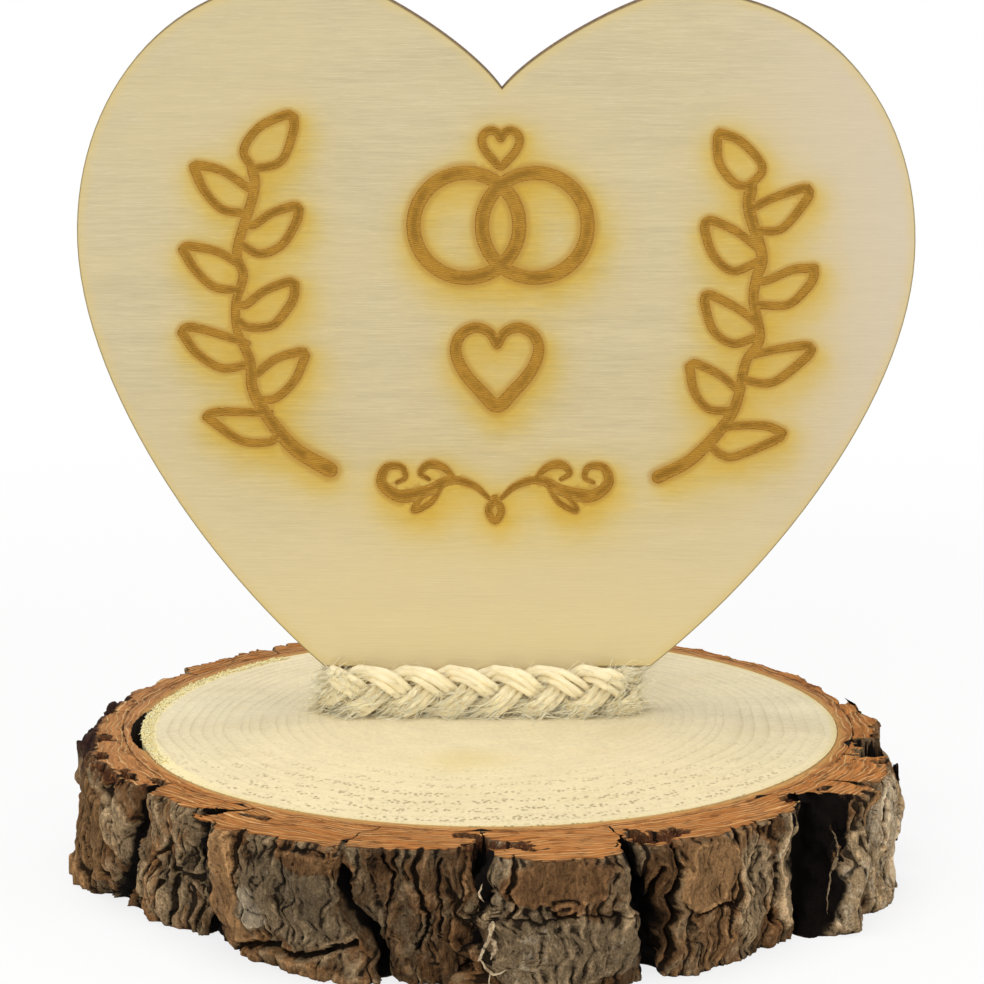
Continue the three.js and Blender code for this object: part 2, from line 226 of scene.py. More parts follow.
class Finish:
    """A procedural material, or a world. Its places are in millimetres in the CAD frame."""

    def __init__(self, name, owners=None):
        self.owner = (bpy.data.materials if owners is None else owners).new(name)
        self.owner.use_nodes = True
        self.tree = self.owner.node_tree
        self.tree.nodes.clear()
        coordinates = self.node("TexCoord", output="Object")
        self.place = self.node("VectorMath", {"operation": "SCALE"}, {0: coordinates, "Scale": 1 / MM})
        self.x, self.y, self.z = self.parts(self.place)

    def node(self, kind, settings=None, sockets=None, output=0):
        """Adds a node: its settings first, a ramp's stops among them, then its sockets."""
        node = self.tree.nodes.new("ShaderNode" + kind)
        for key, setting in (settings or {}).items():
            if key == "stops":
                self.set_stops(node.color_ramp, setting)
            else:
                setattr(node, key, setting)
        for key, entry in (sockets or {}).items():
            self.plug(node.inputs[key], entry)
        return Value(self, node.outputs[output]) if len(node.outputs) else None

    def plug(self, socket, entry):
        if isinstance(entry, Value):
            self.tree.links.new(entry.socket, socket)
        else:
            socket.default_value = (*entry, 1) if socket.type == "RGBA" else entry

    def set_stops(self, ramp, stops):
        while len(ramp.elements) < len(stops):
            ramp.elements.new(1)
        for element, (position, level) in zip(ramp.elements, stops):
            element.position = position
            element.color = (level, level, level, 1)

    def math(self, operation, *terms):
        return self.node("Math", {"operation": operation}, dict(enumerate(terms)))

    def hypot(self, x, y):
        return self.math("SQRT", x**2 + y**2)

    def parts(self, vector):
        outputs = self.node("SeparateXYZ", sockets={0: vector}).socket.node.outputs
        return [Value(self, output) for output in outputs]

    def joined(self, x, y, z):
        return self.node("CombineXYZ", sockets={0: x, 1: y, 2: z})

    def mix(self, a, b, amount=1.0, kind="MIX"):
        """Colour a where the amount is 0, and where it is 1 colour b or what the kind makes of both."""
        settings = {"data_type": "RGBA", "blend_type": kind}
        return self.node("Mix", settings, {0: amount, 6: a, 7: b}, output=2)

    def coated(self, base, *coats):
        """The base under coats, each of them a colour and how much of it shows."""
        for coat, amount in coats:
            base = self.mix(base, coat, amount)
        return base

    def tinted(self, base, amount):
        """A colour made lighter or darker by an amount round 1."""
        return self.mix(base, self.joined(amount, amount, amount), kind="MULTIPLY")

    def noise(self, waves, place=None, detail=2.0, roughness=0.5, twist=0.0):
        """Noise round 0.5. Waves are the millimetres that one wave takes along X, Y and Z."""
        scaled = self.node("VectorMath", {"operation": "DIVIDE"}, {0: place or self.place, 1: waves})
        look = {"Scale": 1.0, "Detail": detail, "Roughness": roughness, "Distortion": twist}
        return self.node("TexNoise", sockets={"Vector": scaled, **look})

    def line_noise(self, place, detail):
        """Noise round 0.5 along a line."""
        sockets = {"W": place, "Scale": 1.0, "Detail": detail}
        return self.node("TexNoise", {"noise_dimensions": "1D"}, sockets)

    def rise(self, value, start, end):
        """0 below the start, 1 above the end and smooth between them."""
        sockets = {"Value": value, "From Min": start, "From Max": end}
        return self.node("MapRange", {"interpolation_type": "SMOOTHSTEP"}, sockets)

    def ramp(self, value, stops):
        return self.node("ValToRGB", {"stops": stops}, {0: value})

    def mark(self, name):
        """A value that the mesh carries at its points."""
        return self.node("Attribute", {"attribute_name": name}, output="Fac")

    def facing(self, axis):
        """1 where the surface is square to an axis, 0 where it runs along it."""
        return self.math("ABSOLUTE", self.parts(self.node("NewGeometry", output="True Normal"))[axis])

    def surface(self, base, roughness=0.8, height=None, depth=0.1, specular=0.3, sheen=0.0):
        """Ends the finish with its shader. Height is raised by up to depth millimetres."""
        sockets = {"Base Color": base, "Roughness": roughness}
        sockets |= {"Specular IOR Level": specular, "Sheen Weight": sheen}
        if height is not None:
            raised = {"Strength": 1.0, "Distance": depth * MM, "Height": height}
            sockets["Normal"] = self.node("Bump", sockets=raised)
        self.node("OutputMaterial", sockets={"Surface": self.node("BsdfPrincipled", sockets=sockets)})
        return self.owner


# Mesh building


class Shape:
    """Points in millimetres and faces, gathered into one mesh with marks at its points."""

    def __init__(self):
        self.points = []
        self.faces = []
        self.marks = {}

    def add(self, points, faces, **marks):
        start = len(self.points)
        self.points.extend(tuple(point) for point in points)
        self.faces.extend([start + corner for corner in face] for face in faces)
        for name, values in marks.items():
            self.marks.setdefault(name, []).extend(values)

    def piece(self, name, finishes, replaces=(), finish_of_face=None, smooth=True):
        mesh = bpy.data.meshes.new(name)
        mesh.from_pydata([[part * MM for part in point] for point in self.points], [], self.faces)
        for mark, values in self.marks.items():
            layer = mesh.attributes.new(mark, "FLOAT", "POINT")
            layer.data.foreach_set("value", np.asarray(values, np.float32))
        for finish in finishes:
            mesh.materials.append(finish)
        if finish_of_face is not None:
            mesh.polygons.foreach_set("material_index", np.asarray(finish_of_face, np.int32))
        mesh.polygons.foreach_set("use_smooth", [smooth] * len(mesh.polygons))
        mesh.update()
        obj = bpy.data.objects.new(name, mesh)
        bpy.context.scene.collection.objects.link(obj)
        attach(obj, BODY)
        if replaces:
            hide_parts(*replaces)
        return obj


def ring_faces(rings, around, closed=False):
    """Faces between rings of points. The last ring joins the first, or both ends have a cap."""
    here = np.arange(rings if closed else rings - 1)[:, None] * around
    beyond = (here + around) % (rings * around)
    side = np.arange(around)
    after = (side + 1) % around
    faces = np.stack([here + side, beyond + side, beyond + after, here + after], -1).reshape(-1, 4).tolist()
    caps = [side.tolist(), (side[::-1] + (rings - 1) * around).tolist()]
    return faces if closed else faces + caps


def tube(shape, path, frames, section, **marks):
    """Adds a tube along a path. Section gives each ring's points in the two directions of its frame."""
    size = section.shape[:2]
    points = path[:, None] + section[..., :1] * frames[0][:, None] + section[..., 1:] * frames[1][:, None]
    marks = {name: np.broadcast_to(value, size).ravel() for name, value in marks.items()}
    shape.add(points.reshape(-1, 3), ring_faces(*size), **marks)


def unit(vectors):
    """The vectors' directions, as vectors of length one."""
    return vectors / np.maximum(np.linalg.norm(vectors, axis=-1, keepdims=True), 1e-9)


def path_frames(path):
    """Two directions square to a path at each of its points."""
    along = unit(np.gradient(path, axis=0))
    reference = np.where(np.abs(along[:, 2:]) < 0.9, [[0, 0, 1.0]], [[1.0, 0, 0]])
    side = unit(np.cross(along, reference))
    return side, np.cross(side, along)


def circle(corners):
    """Places on a circle of radius one."""
    angles = np.arange(corners) * FULL_TURN / corners
    return np.stack([np.cos(angles), np.sin(angles)], 1)


def hair(shape, path, radius):
    """Adds a fine fibre that thins towards its end."""
    thin = radius * np.linspace(1, 0.35, len(path))
    tube(shape, path, path_frames(path), thin[:, None, None] * circle(3))


def smooth_line(points, step):
    """A smooth line through the points, cut into about equal steps."""
    points = np.asarray(points, float)
    points = points[np.r_[True, np.linalg.norm(np.diff(points, axis=0), axis=1) > 0.4 * step]]
    ends = np.concatenate([[2 * points[0] - points[1]], points, [2 * points[-1] - points[-2]]])
    line = []
    for before, start, end, after in zip(ends, ends[1:], ends[2:], ends[3:]):
        count = max(2, int(np.ceil(np.linalg.norm(end - start) / step)))
        t = (np.arange(count) / count)[:, None]
        bend = (2 * before - 5 * start + 4 * end - after) * t**2
        bend = bend + (3 * start - before - 3 * end + after) * t**3
        line.append((2 * start + (end - before) * t + bend) / 2)
    return np.concatenate([*line, points[-1:]])


def wavy(places):
    """Noise from -1 to 1 at each place."""
    return np.array([noise.noise(place) for place in places.tolist()])


def wavy_at(x, y, z):
    """The same noise at places that are given as three coordinates."""
    places = np.stack(np.broadcast_arrays(x, y, z), -1)
    return wavy(places.reshape(-1, 3)).reshape(places.shape[:-1])


def stepped(value, start, end):
    """0 below the start, 1 above the end and smooth between them."""
    t = np.clip((value - start) / (end - start), 0, 1)
    return t * t * (3 - 2 * t)


def mesh_points(mesh):
    """A mesh's points in millimetres."""
    points = np.empty(len(mesh.vertices) * 3, np.float32)
    mesh.vertices.foreach_get("co", points)
    return points.reshape(-1, 3).astype(float) / MM


def turn_of(points):
    return (np.arctan2(points[:, 1], points[:, 0]) / FULL_TURN) % 1


def round_profile(points, limit):
    """The radius by turn, as a function, of those of a ring's points that lie further out than a limit."""
    radii = np.hypot(points[:, 0], points[:, 1])
    turns = turn_of(points)[radii > limit]
    order = np.argsort(turns)
    return lambda turn: np.interp(turn, turns[order], radii[radii > limit][order], period=1)


# Log slice

SLICE_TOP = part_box("wood_disc")[1].z / MM

# Where the wood's colour ends, and the radius at which the layers of the sawn bark have their length
GRAIN_RADIUS = 50.2
LAYER_RADIUS = 58.0

inner_bark_points = mesh_points(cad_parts["inner_bark"].data)
middle_radius = np.hypot(inner_bark_points[:, 0], inner_bark_points[:, 1]).mean()


def bast_profile():
    """The inner bark's outer radius by turn. Its ring is thinner than its wave is high."""
    radii = np.hypot(inner_bark_points[:, 0], inner_bark_points[:, 1])
    turns = np.round(turn_of(inner_bark_points), 5)
    middles = {turn: radii[turns == turn].mean() for turn in np.unique(turns)}
    middle = np.array([middles[turn] for turn in turns])
    return round_profile(inner_bark_points, middle)


bast_outside = bast_profile()
wood_points = mesh_points(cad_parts["wood_disc"].data)
wood_edge = round_profile(wood_points, 0.9 * middle_radius)


# Colours of the sawn wood beside its settings: its warm front, tan bands, edge and torn fuzz
WARM_WOOD = (0.86, 0.73, 0.43)
TAN_WOOD = (0.80, 0.66, 0.36)
EDGE_WOOD = (0.84, 0.68, 0.30)
WOOD_FUZZ = (1.0, 0.88, 0.50)

# Colours of the sawn bark beside its settings: paler on the left, dark spots, outer rim and crust
CUT_PALE = (0.56, 0.34, 0.18)
CUT_DARK = (0.13, 0.045, 0.012)
CUT_RIM = (0.17, 0.075, 0.027)
RIM_CRUST = (0.04, 0.02, 0.017)


def end_grain_finish(settings):
    """Sawn sapwood: growth rings round the pith, rows of open pores and a few stains."""
    finish = Finish("sawn_sapwood")
    x, y = finish.x, finish.y
    out = finish.hypot(x, y) / GRAIN_RADIUS
    swell = finish.noise((22, 22, 60), detail=1.0)
    ripple = finish.noise((2.6, 2.6, 60), detail=3.0, roughness=0.6)
    from_pith = finish.hypot(x + (1 - out) * 0.6, y - (1 - out) * (settings.pith_back / MM))
    ring = from_pith + swell * 4.5 + ripple * 0.4
    frontward = finish.rise(y, -2.0, -40.0)
    uneven = finish.line_noise(ring * 0.2, 1.0)
    phase = finish.math("FRACT", ring / (settings.ring_width / MM) + uneven * 1.6)
    line = finish.ramp(phase, [(0.0, 0.3), (0.08, 0.0), (0.5, 0.05), (0.8, 0.35), (0.94, 1.0), (1.0, 0.3)])
    fade = finish.rise(finish.noise((12, 8, 60)), 0.35, 0.7)
    rimward = finish.rise(out, 0.3, 0.8)
    line_strength = line * (0.06 + 0.34 * fade * rimward + 0.08 * rimward) * (1 - 0.55 * frontward)

    cell = finish.node("VectorMath", {"operation": "DIVIDE"}, {0: finish.place, 1: (0.7, 1.25, 60.0)})
    flat = {"voronoi_dimensions": "2D"}
    spots = finish.node("TexVoronoi", flat, {"Vector": cell, "Scale": 1.0}, output="Distance")
    scatter = finish.rise(finish.noise((1.6, 2.2, 60), detail=1.0), 0.4, 0.52)
    band = finish.math("FRACT", ring / 3.1)
    rows = finish.ramp(band, [(0.0, 1.0), (0.3, 1.0), (0.5, 0.2), (0.85, 0.2), (1.0, 1.0)])
    pores = finish.rise(spots, 0.38, 0.16) * scatter * rows
    pores = pores * (0.1 + 0.9 * frontward) * (0.2 + 0.8 * rimward)

    mottle = finish.noise((7, 7, 9), detail=5.0, roughness=0.6)
    speck = finish.noise((0.4, 0.4, 0.4), detail=3.0, roughness=0.7)
    dust = finish.noise((0.9, 0.9, 0.9), detail=3.0, roughness=0.75)
    leftward = finish.rise(x, 10.0, -30.0)
    spot = finish.hypot((x + 3.6) / 9.5, (y + 18.5) / 8.0)
    tan = finish.rise(finish.noise((14, 5, 60), detail=3.0), 0.55, 0.75)
    fuzzy = finish.rise(out + 0.06 * dust, 0.985, 1.0) * finish.rise(x, -34.0, -45.0)
    base = finish.coated(
        finish.tinted(settings.sapwood, 0.56 + 0.28 * mottle + 0.3 * speck + 0.3 * dust + 0.06 * leftward),
        (WARM_WOOD, 0.45 * frontward),
        (settings.latewood, line_strength),
        (settings.stain, 0.5 * finish.rise(spot + 0.8 * mottle, 1.45, 0.5)),
        (TAN_WOOD, tan * 0.3),
        (EDGE_WOOD, 0.6 * finish.rise(out + 0.015 * ripple, 0.985, 1.01)),
        (WOOD_FUZZ, fuzzy * 0.9),
        (settings.pore, pores * 0.55),
    )
    saw = finish.noise((30, 0.5, 30), detail=1.0)
    height = 0.6 * speck + 0.3 * saw - 1.6 * pores - 0.25 * line
    return finish.surface(base, 0.78, height, depth=0.1, specular=0.2)


def sawn_bark(finish, settings, out=0.0):
    """Colour and height of bark that was sawn across: thin pale layers that follow the round."""
    radius = finish.hypot(finish.x, finish.y)
    bend = finish.noise((5.0, 5.0, 20.0))
    wide = finish.noise((22.0, 22.0, 40.0), detail=1.0)
    depth_in = radius + 2.0 * bend + 7.0 * wide

    def layered(across, along, detail=1.0, roughness=0.5):
        """Noise that is drawn out round the log."""
        reach = LAYER_RADIUS / along
        place = finish.joined(finish.x / radius * reach, finish.y / radius * reach, depth_in / across)
        return finish.noise((1, 1, 1), place, detail, roughness)

    phase = finish.math("FRACT", (depth_in + 1.2 * layered(2.5, 9.0)) / 0.82)
    crest = finish.ramp(phase, [(0.0, 0.0), (0.3, 0.0), (0.46, 1.0), (0.54, 1.0), (0.72, 0.0), (1.0, 0.0)])
    lines = crest * finish.rise(layered(0.9, 7.0, 2.0), 0.38, 0.6)
    streaks = layered(0.35, 4.0, 3.0)
    grain = finish.noise((0.2, 0.2, 0.2))
    dark = finish.rise(layered(1.1, 2.6, 4.0, 0.65), 0.52, 0.7)
    base = finish.coated(
        finish.tinted(settings.cut, 1.8 * streaks + 0.5 * grain + 0.35 * wide - 0.48),
        (CUT_PALE, 0.22 * finish.rise(finish.x + 6 * wide, -40.0, -50.0)),
        (CUT_DARK, dark * 0.7),
        (CUT_RIM, finish.rise(out + 0.35 * bend, 0.95, 1.2) * 0.85),
        (settings.cut_line, lines * (0.85 - 0.5 * dark)),
        (settings.bast, finish.rise(radius + 0.7 * bend, 52.2, 51.0) * 0.7),
    )
    return base, 0.6 * streaks + 0.8 * lines - 0.9 * dark + 0.25 * grain


def bast_finish(settings):
    """Inner bark: sawn on top, and on its sides fibrous and painted near black as shade."""
    finish = Finish("inner_bark")
    base, height = sawn_bark(finish, settings)
    # Painted shade: the sides, which face into the gaps beside the wood and the plates, take the deep shade
    # colour
    base = finish.mix(finish.tinted(settings.hollow, 2.0), base, finish.rise(finish.facing(2), 0.3, 0.7))
    return finish.surface(base, 0.85, height, depth=0.12, specular=0.15)


def bark_finish(settings):
    """Outer bark: weathered flakes, brown cork, painted shade that blackens its fissures, cracks and pits,
    a painted highlight on its crests, and its sawn faces.
    """
    finish = Finish("outer_bark")
    names = ("grey", "warm", "tone", "cavity", "hollow", "out", "torn")
    grey, warm, tone, cavity, hollow, out, torn = (finish.mark(name) for name in names)
    streak = finish.noise((0.5, 0.5, 2.6), detail=5.0, roughness=0.72, twist=0.25)
    sheet = finish.noise((2.4, 2.4, 0.7), detail=5.0, roughness=0.7, twist=0.4)
    patchy = finish.noise((2.0, 2.0, 3.0), detail=6.0, roughness=0.7, twist=0.3)
    fine = finish.noise((0.3, 0.3, 0.35), detail=3.0, roughness=0.8)
    crust = finish.noise((1.0, 1.0, 1.2), detail=6.0, roughness=0.78, twist=0.3)
    crumbs = finish.rise(finish.noise((0.9, 0.9, 1.3), detail=5.0, roughness=0.75), 0.44, 0.34)
    fresh = finish.tinted(settings.orange, 1.5 * streak + 2.0 * fine + 1.2 * patchy - 1.35)
    weathered = finish.tinted(settings.grey, 2.6 * fine + 2.0 * patchy + 1.4 * streak + 0.6 * sheet - 2.3)
    bleached = finish.tinted(settings.pale, 1.6 * fine + 0.8 * streak - 0.2)
    base = finish.coated(
        finish.tinted(settings.brown, 1.6 * streak + 1.6 * patchy + 2.0 * fine - 1.6),
        (fresh, finish.rise(warm + 1.3 * patchy + 0.5 * streak, 1.0, 1.75)),
        (weathered, finish.rise(grey + 1.3 * patchy + 0.5 * sheet, 1.05, 1.65)),
        (bleached, finish.rise(grey * 0.5 + crust, 1.02, 1.14) * 0.75),
    )
    # Painted highlight: where the face stands above its surroundings its colour is made up to 75% lighter
    base = finish.tinted(base, tone * (1.0 + 0.75 * finish.rise(cavity, -0.02, -0.2)))

    split = finish.mix(settings.torn, settings.cut, finish.rise(streak + 0.6 * fine, 0.86, 0.98) * 0.7)
    sawn, sawn_height = sawn_bark(finish, settings, out)
    # Painted shade: deep pits and deep torn places in the sawn top are darkened towards near black
    sawn = finish.mix(sawn, settings.hollow, finish.rise(hollow, 0.85, 1.0) * 0.6)
    from_middle = finish.math("ABSOLUTE", finish.z - SLICE_TOP / 2)
    is_cut = finish.rise(from_middle, SLICE_TOP / 2 - 0.08, SLICE_TOP / 2 - 0.02)
    rim = finish.hypot(finish.x, finish.y) + 0.06 * finish.y + 1.6 * patchy
    left_rim = finish.rise(rim, 57.0, 57.6) * finish.rise(finish.x, -50.0, -53.0)
    left_rim = left_rim * finish.rise(finish.y + 8 * patchy, -13.0, -8.0)
    left_rim = left_rim * finish.rise(finish.y, 20.0, 15.0) * finish.rise(finish.z + 4 * streak, 16.5, 18.5)
    base = finish.coated(
        base,
        (finish.tinted(split, 2.4 * fine + 1.4 * streak - 0.9), torn * 0.95),
        # Painted shade: small cavities and cracks, then the fissures deep below the face and the deep pits,
        # take the near-black deep shade colour
        (settings.hollow, finish.rise(cavity + 0.1 * crumbs, 0.03, 0.22) * 0.88),
        (settings.hollow, finish.rise(hollow + 0.3 * patchy, 0.2, 0.75)),
        (sawn, is_cut),
        (finish.tinted(RIM_CRUST, 3.0 * streak - 0.4), left_rim * 0.88),
    )
    side_height = 1.1 * fine + 1.2 * streak + 0.9 * patchy + 0.6 * crust - 0.9 * crumbs
    height = side_height * (1 - is_cut) + 0.5 * sawn_height * is_cut
    return finish.surface(base, 0.9, height, depth=0.4, specular=0.1)


# Places on the bark's face: turn, height up the slice, half its width and half its height in
# millimetres, then how weathered, how freshly brown and how smooth it is, how far it stands out in
# millimetres, and how light it is
BARK_PATCHES = [
    (0.5505, 8, 5.5, 9.0, 0.0, 0.9, 0.35, 0.0, 0.8),
    (0.5631, 16.5, 8.6, 1.6, 0.5, 0.2, 0.3, 0.1, 0.95),
    (0.5778, 11.8, 3.6, 4.3, 0.8, 0.1, 0.5, 0.5, 1.45),
    (0.5650, 0.7, 4.0, 2.0, 0.6, 0.1, 0.0, 0.0, 0.85),
    (0.5358, 0.0, 6.0, 3.0, 0.1, 0.9, 0.5, 1.2, 1.2),
    (0.6257, 16.0, 2.8, 5.0, 0.45, 0.4, 0.1, 0.1, 1.15),
    (0.6035, 14.8, 2.3, 4.8, 0.5, 0.4, 0.5, 0.4, 1.4),
    (0.6230, 4.1, 4.0, 3.6, 0.4, 0.3, 0.0, 0.0, 1.0),
    (0.5962, 4.8, 4.4, 3.9, 0.5, 0.35, 0.1, 0.6, 1.35),
    (0.6536, 12, 2.2, 10, 0.1, 0.75, 0.9, 0.1, 1.25),
    (0.645, 6, 2.2, 6, 0.2, 0.6, 0.8, 0.0, 1.1),
    (0.6805, 10.4, 7.2, 6.4, 1.0, 0.0, 0.4, 0.6, 0.7),
    (0.6640, 8.0, 3.0, 3.2, 1.3, 0.0, 0.3, 0.6, 0.9),
    (0.6900, 16.6, 5.5, 1.4, 0.1, 0.4, 0.6, 0.2, 0.8),
    (0.683, 0.3, 10, 1.8, 0.3, 0.55, 0.5, 0.3, 1.0),
    (0.7215, 12, 6.8, 12, 0.45, 0.2, 0.35, 0.0, 0.52),
    (0.733, 2.6, 4.4, 3.2, 0.4, 0.3, 0.4, 0.3, 0.6),
    (0.7537, 12, 1.9, 9, 0.8, 0.0, 0.3, 0.5, 0.8),
    (0.7745, 15.8, 7.4, 3.4, 0.0, 0.25, 0.8, 0.1, 0.8),
    (0.7915, 14.6, 2.4, 3.4, 0.6, 0.3, 0.5, 0.3, 1.15),
    (0.777, 5.5, 9.5, 5.0, 0.95, 0.0, 0.55, 0.3, 0.85),
    (0.8085, 9, 3.0, 10, 0.1, 0.2, 0.1, -0.3, 0.55),
    (0.8285, 14, 4.4, 5.4, 0.05, 0.85, 0.7, 0.4, 1.0),
    (0.8285, 4, 5.0, 4.0, 0.3, 0.5, 0.4, 0.1, 0.85),
    (0.8500, 10, 3.4, 8, 0.85, 0.1, 0.45, 0.3, 1.45),
    (0.8720, 11, 2.4, 8.5, 0.95, 0.1, 0.5, 0.4, 1.65),
    (0.9020, 12, 2.4, 2.2, 0.8, 0.3, 0.5, 0.2, 1.45),
    (0.8982, 5.0, 4.0, 6.0, 1.05, 0.1, 0.5, 0.8, 1.5),
    (0.9110, 16, 2.4, 3.1, 0.1, 0.7, 0.5, 0.1, 1.35),
    (0.9331, 8.5, 7.0, 12, 1.15, 0.0, 0.5, 0.3, 1.65),
]

# Cracks in the bark: half the width and the depth in millimetres, then places of turn and height
BARK_CRACKS = [
    (0.3, 1.6, [(0.5420, 16.0), (0.5578, 13.4), (0.5690, 10.0), (0.5720, 6.5)]),
    (0.9, 3.0, [(0.5733, 18.0), (0.5740, 15.0)]),
    (0.5, 2.0, [(0.5592, 5.2), (0.5666, 3.6)]),
    (0.3, 1.8, [(0.6121, 18.8), (0.6103, 13.3), (0.6061, 10.9), (0.5973, 8.9)]),
    (0.6, 2.2, [(0.6100, 9.3), (0.6175, 9.0), (0.6230, 8.3), (0.6299, 8.0)]),
    (0.25, 1.4, [(0.6183, 19.0), (0.6199, 16.6), (0.6177, 13.5), (0.6189, 11.1)]),
    (0.4, 2.0, [(0.6057, 6.7), (0.6003, 0.6)]),
    (0.45, 2.4, [(0.6118, 7.7), (0.6074, 0.7)]),
    (0.5, 2.4, [(0.6193, 6.8), (0.6178, 0.6)]),
    (0.25, 1.4, [(0.6253, 7.0), (0.6226, 0.7)]),
    (0.4, 2.6, [(0.6500, 1.0), (0.6600, 2.2), (0.6765, 2.1), (0.6880, 3.0), (0.7020, 5.2)]),
    (0.2, 0.9, [(0.6600, 19), (0.6585, 12.0), (0.6590, 5.0)]),
    (0.25, 1.6, [(0.7275, 19), (0.7245, 13.0), (0.7285, 7.0), (0.7260, 5.5)]),
    (0.25, 1.4, [(0.7150, 19), (0.7165, 11.0), (0.7140, 5.0), (0.7165, 0.0)]),
    (0.2, 1.2, [(0.7345, 17), (0.7320, 12.0), (0.7350, 7.0)]),
    (0.2, 1.0, [(0.7585, 19), (0.7600, 13.5), (0.7580, 11.0)]),
    (0.12, 0.5, [(0.7580, 11.2), (0.7660, 10.2), (0.7760, 10.6), (0.7850, 10.9), (0.8000, 10.2)]),
    (0.5, 3.0, [(0.8072, 15.0), (0.8080, 10.5), (0.8100, 4.0)]),
    (0.4, 2.2, [(0.8135, 18.6), (0.8160, 11.3), (0.8145, 3.0)]),
    (0.25, 1.2, [(0.8400, 19), (0.8410, 12.0), (0.8390, 4.0)]),
    (0.75, 3.6, [(0.8640, 15.0), (0.8662, 11.3), (0.8655, 6.5), (0.8650, 4.0)]),
    (0.25, 1.2, [(0.8240, 8.6), (0.8320, 9.0), (0.8390, 8.2)]),
    (0.25, 1.4, [(0.9281, 17.5), (0.9251, 8.6), (0.9243, 0.1)]),
    (0.3, 1.8, [(0.9450, 17), (0.9460, 9.0), (0.9440, 2.0)]),
]

# Knot in the smooth part of a front plate: turn, height, and half its width and height
BARK_KNOT = (0.7744, 12.1, 1.9, 1.3)

# The fissure that follows each plate: how much of the bark's depth has grown shut up the side of the
# slice and in its sawn top, and how far below the bark's face it is painted black as shade, in millimetres
FISSURES = [
    (0.5, 0.7, 2.4), (0.6, 0.8, 2.4), (0.5, 0.7, 2.4), (0.5, 0.7, 2.4), (0.4, 0.6, 2.4), (0.4, 0.6, 2.4),
    (0.5, 0.7, 2.4), (0.35, 0.6, 2.4), (0.3, 0.32, 1.6), (0.3, 0.8, 1.0), (0.7, 1.1, 2.8), (0.88, 0.6, 2.6),
    (0.45, 0.66, 1.8), (0.2, 0.6, 0.9), (0.75, 1.1, 2.4), (0.25, 0.3, 0.3),
]

# The heights between which a fissure goes over from its depth up the side to that in the sawn top
SAWN_TOP_FROM = (14.5, 18.0)

# How far the side walls of the fissures have grown sideways, at the slice's underside and at its
# top: turn and millimetres round the log
GROWTH_LOW = [
    (0.5, 0.0), (0.5844, -7.9), (0.5924, -8.5), (0.6213, 3.4), (0.6326, 3.0), (0.7118, 0.1), (0.7165, -0.1),
    (0.7405, -0.3), (0.7475, 0.6), (0.801, 1.5), (0.8074, 2.2), (0.8735, 4.4), (0.8855, -1.2),
    (0.9017, 2.6), (0.9062, 4.0), (0.965, 0.0),
]
GROWTH_TOP = [
    (0.5, 0.0), (0.5904, 0.0), (0.5978, -0.8), (0.6437, -4.2), (0.6472, -2.2), (0.7036, -2.2),
    (0.7072, -2.2), (0.7419, 1.4), (0.7509, -0.3), (0.7959, 0.2), (0.804, -1.2), (0.8738, 3.6),
    (0.8881, 4.0), (0.9022, 4.2), (0.9063, 5.2), (0.965, 0.0),
]

# Pits in the sawn bark: turn, distance from the slice's centre, half the size round the log and
# towards the centre, and depth, all in millimetres
PITS = [
    (0.7425, 54.5, 1.7, 1.0, 1.6), (0.7475, 57.2, 1.1, 3.0, 3.5), (0.7560, 58.6, 3.6, 1.9, 1.4),
    (0.8060, 58.4, 1.6, 2.6, 3.0), (0.8130, 59.0, 3.0, 2.2, 1.3), (0.8190, 57.2, 1.6, 0.9, 0.9),
    (0.8840, 55.4, 1.5, 1.1, 2.5), (0.9021, 56.2, 1.5, 0.8, 1.4), (0.8890, 61.0, 3.6, 2.4, 4.5),
    (0.9655, 57.0, 6.0, 3.4, 10.0), (0.9747, 54.0, 1.8, 1.1, 5.0), (0.9560, 59.6, 2.6, 1.5, 7.0),
    (0.5246, 58.6, 4.6, 1.5, 1.2), (0.4998, 58.3, 6.0, 1.4, 1.2), (0.4738, 57.6, 5.0, 1.3, 1.1),
    (0.5182, 55.6, 1.5, 1.0, 1.0), (0.5459, 56.9, 2.0, 0.9, 1.3), (0.5640, 58.4, 4.5, 0.9, 1.2),
    (0.5780, 56.4, 3.6, 0.8, 1.4), (0.5890, 54.2, 2.0, 0.7, 1.8), (0.6525, 55.4, 2.6, 0.6, 1.6),
    (0.4580, 57.5, 1.2, 2.6, 2.0), (0.4150, 58.6, 1.6, 2.4, 2.2),
]

# How far the outer rim of the sawn bark has broken down: turn and millimetres
RIM_LOSS = [
    (0.0, 0.6), (0.25, 0.8), (0.40, 0.6), (0.49, 1.6), (0.525, 1.4), (0.555, 0.5), (0.93, 0.2), (1.0, 0.6),
]

# Pits deeper than this are painted black all over, as shade
BLACK_PIT = 4.0

# The bark's face as a round: its radius and its length
FACE_RADIUS = 62.0
FACE_ROUND = FULL_TURN * FACE_RADIUS

# The turn up to which the photograph shows nothing of the bark's face
BACK_OF_LOG = 0.53

# What is left between two plates whose fissure has grown shut
PLATE_GAP = 0.06
FRONT_PLATES = [f"bark_plate_{plate:02}" for plate in range(9, 17)]


def drawn_patches(seed, count):
    """Patches for the back of the log, drawn by chance but the same each time."""
    rng = random.Random(seed)
    rows = []
    for _ in range(count):
        place = (rng.uniform(-0.05, BACK_OF_LOG) % 1, rng.uniform(2, 17))
        half_size = (rng.uniform(2, 7), rng.uniform(2, 8))
        look = (rng.choice([0.1, 0.5, 0.8, 1.0]), rng.choice([0.0, 0.2, 0.6]), rng.uniform(0.1, 0.8))
        rows.append((*place, *half_size, *look, rng.uniform(0.0, 0.5), rng.uniform(0.7, 1.3)))
    return rows


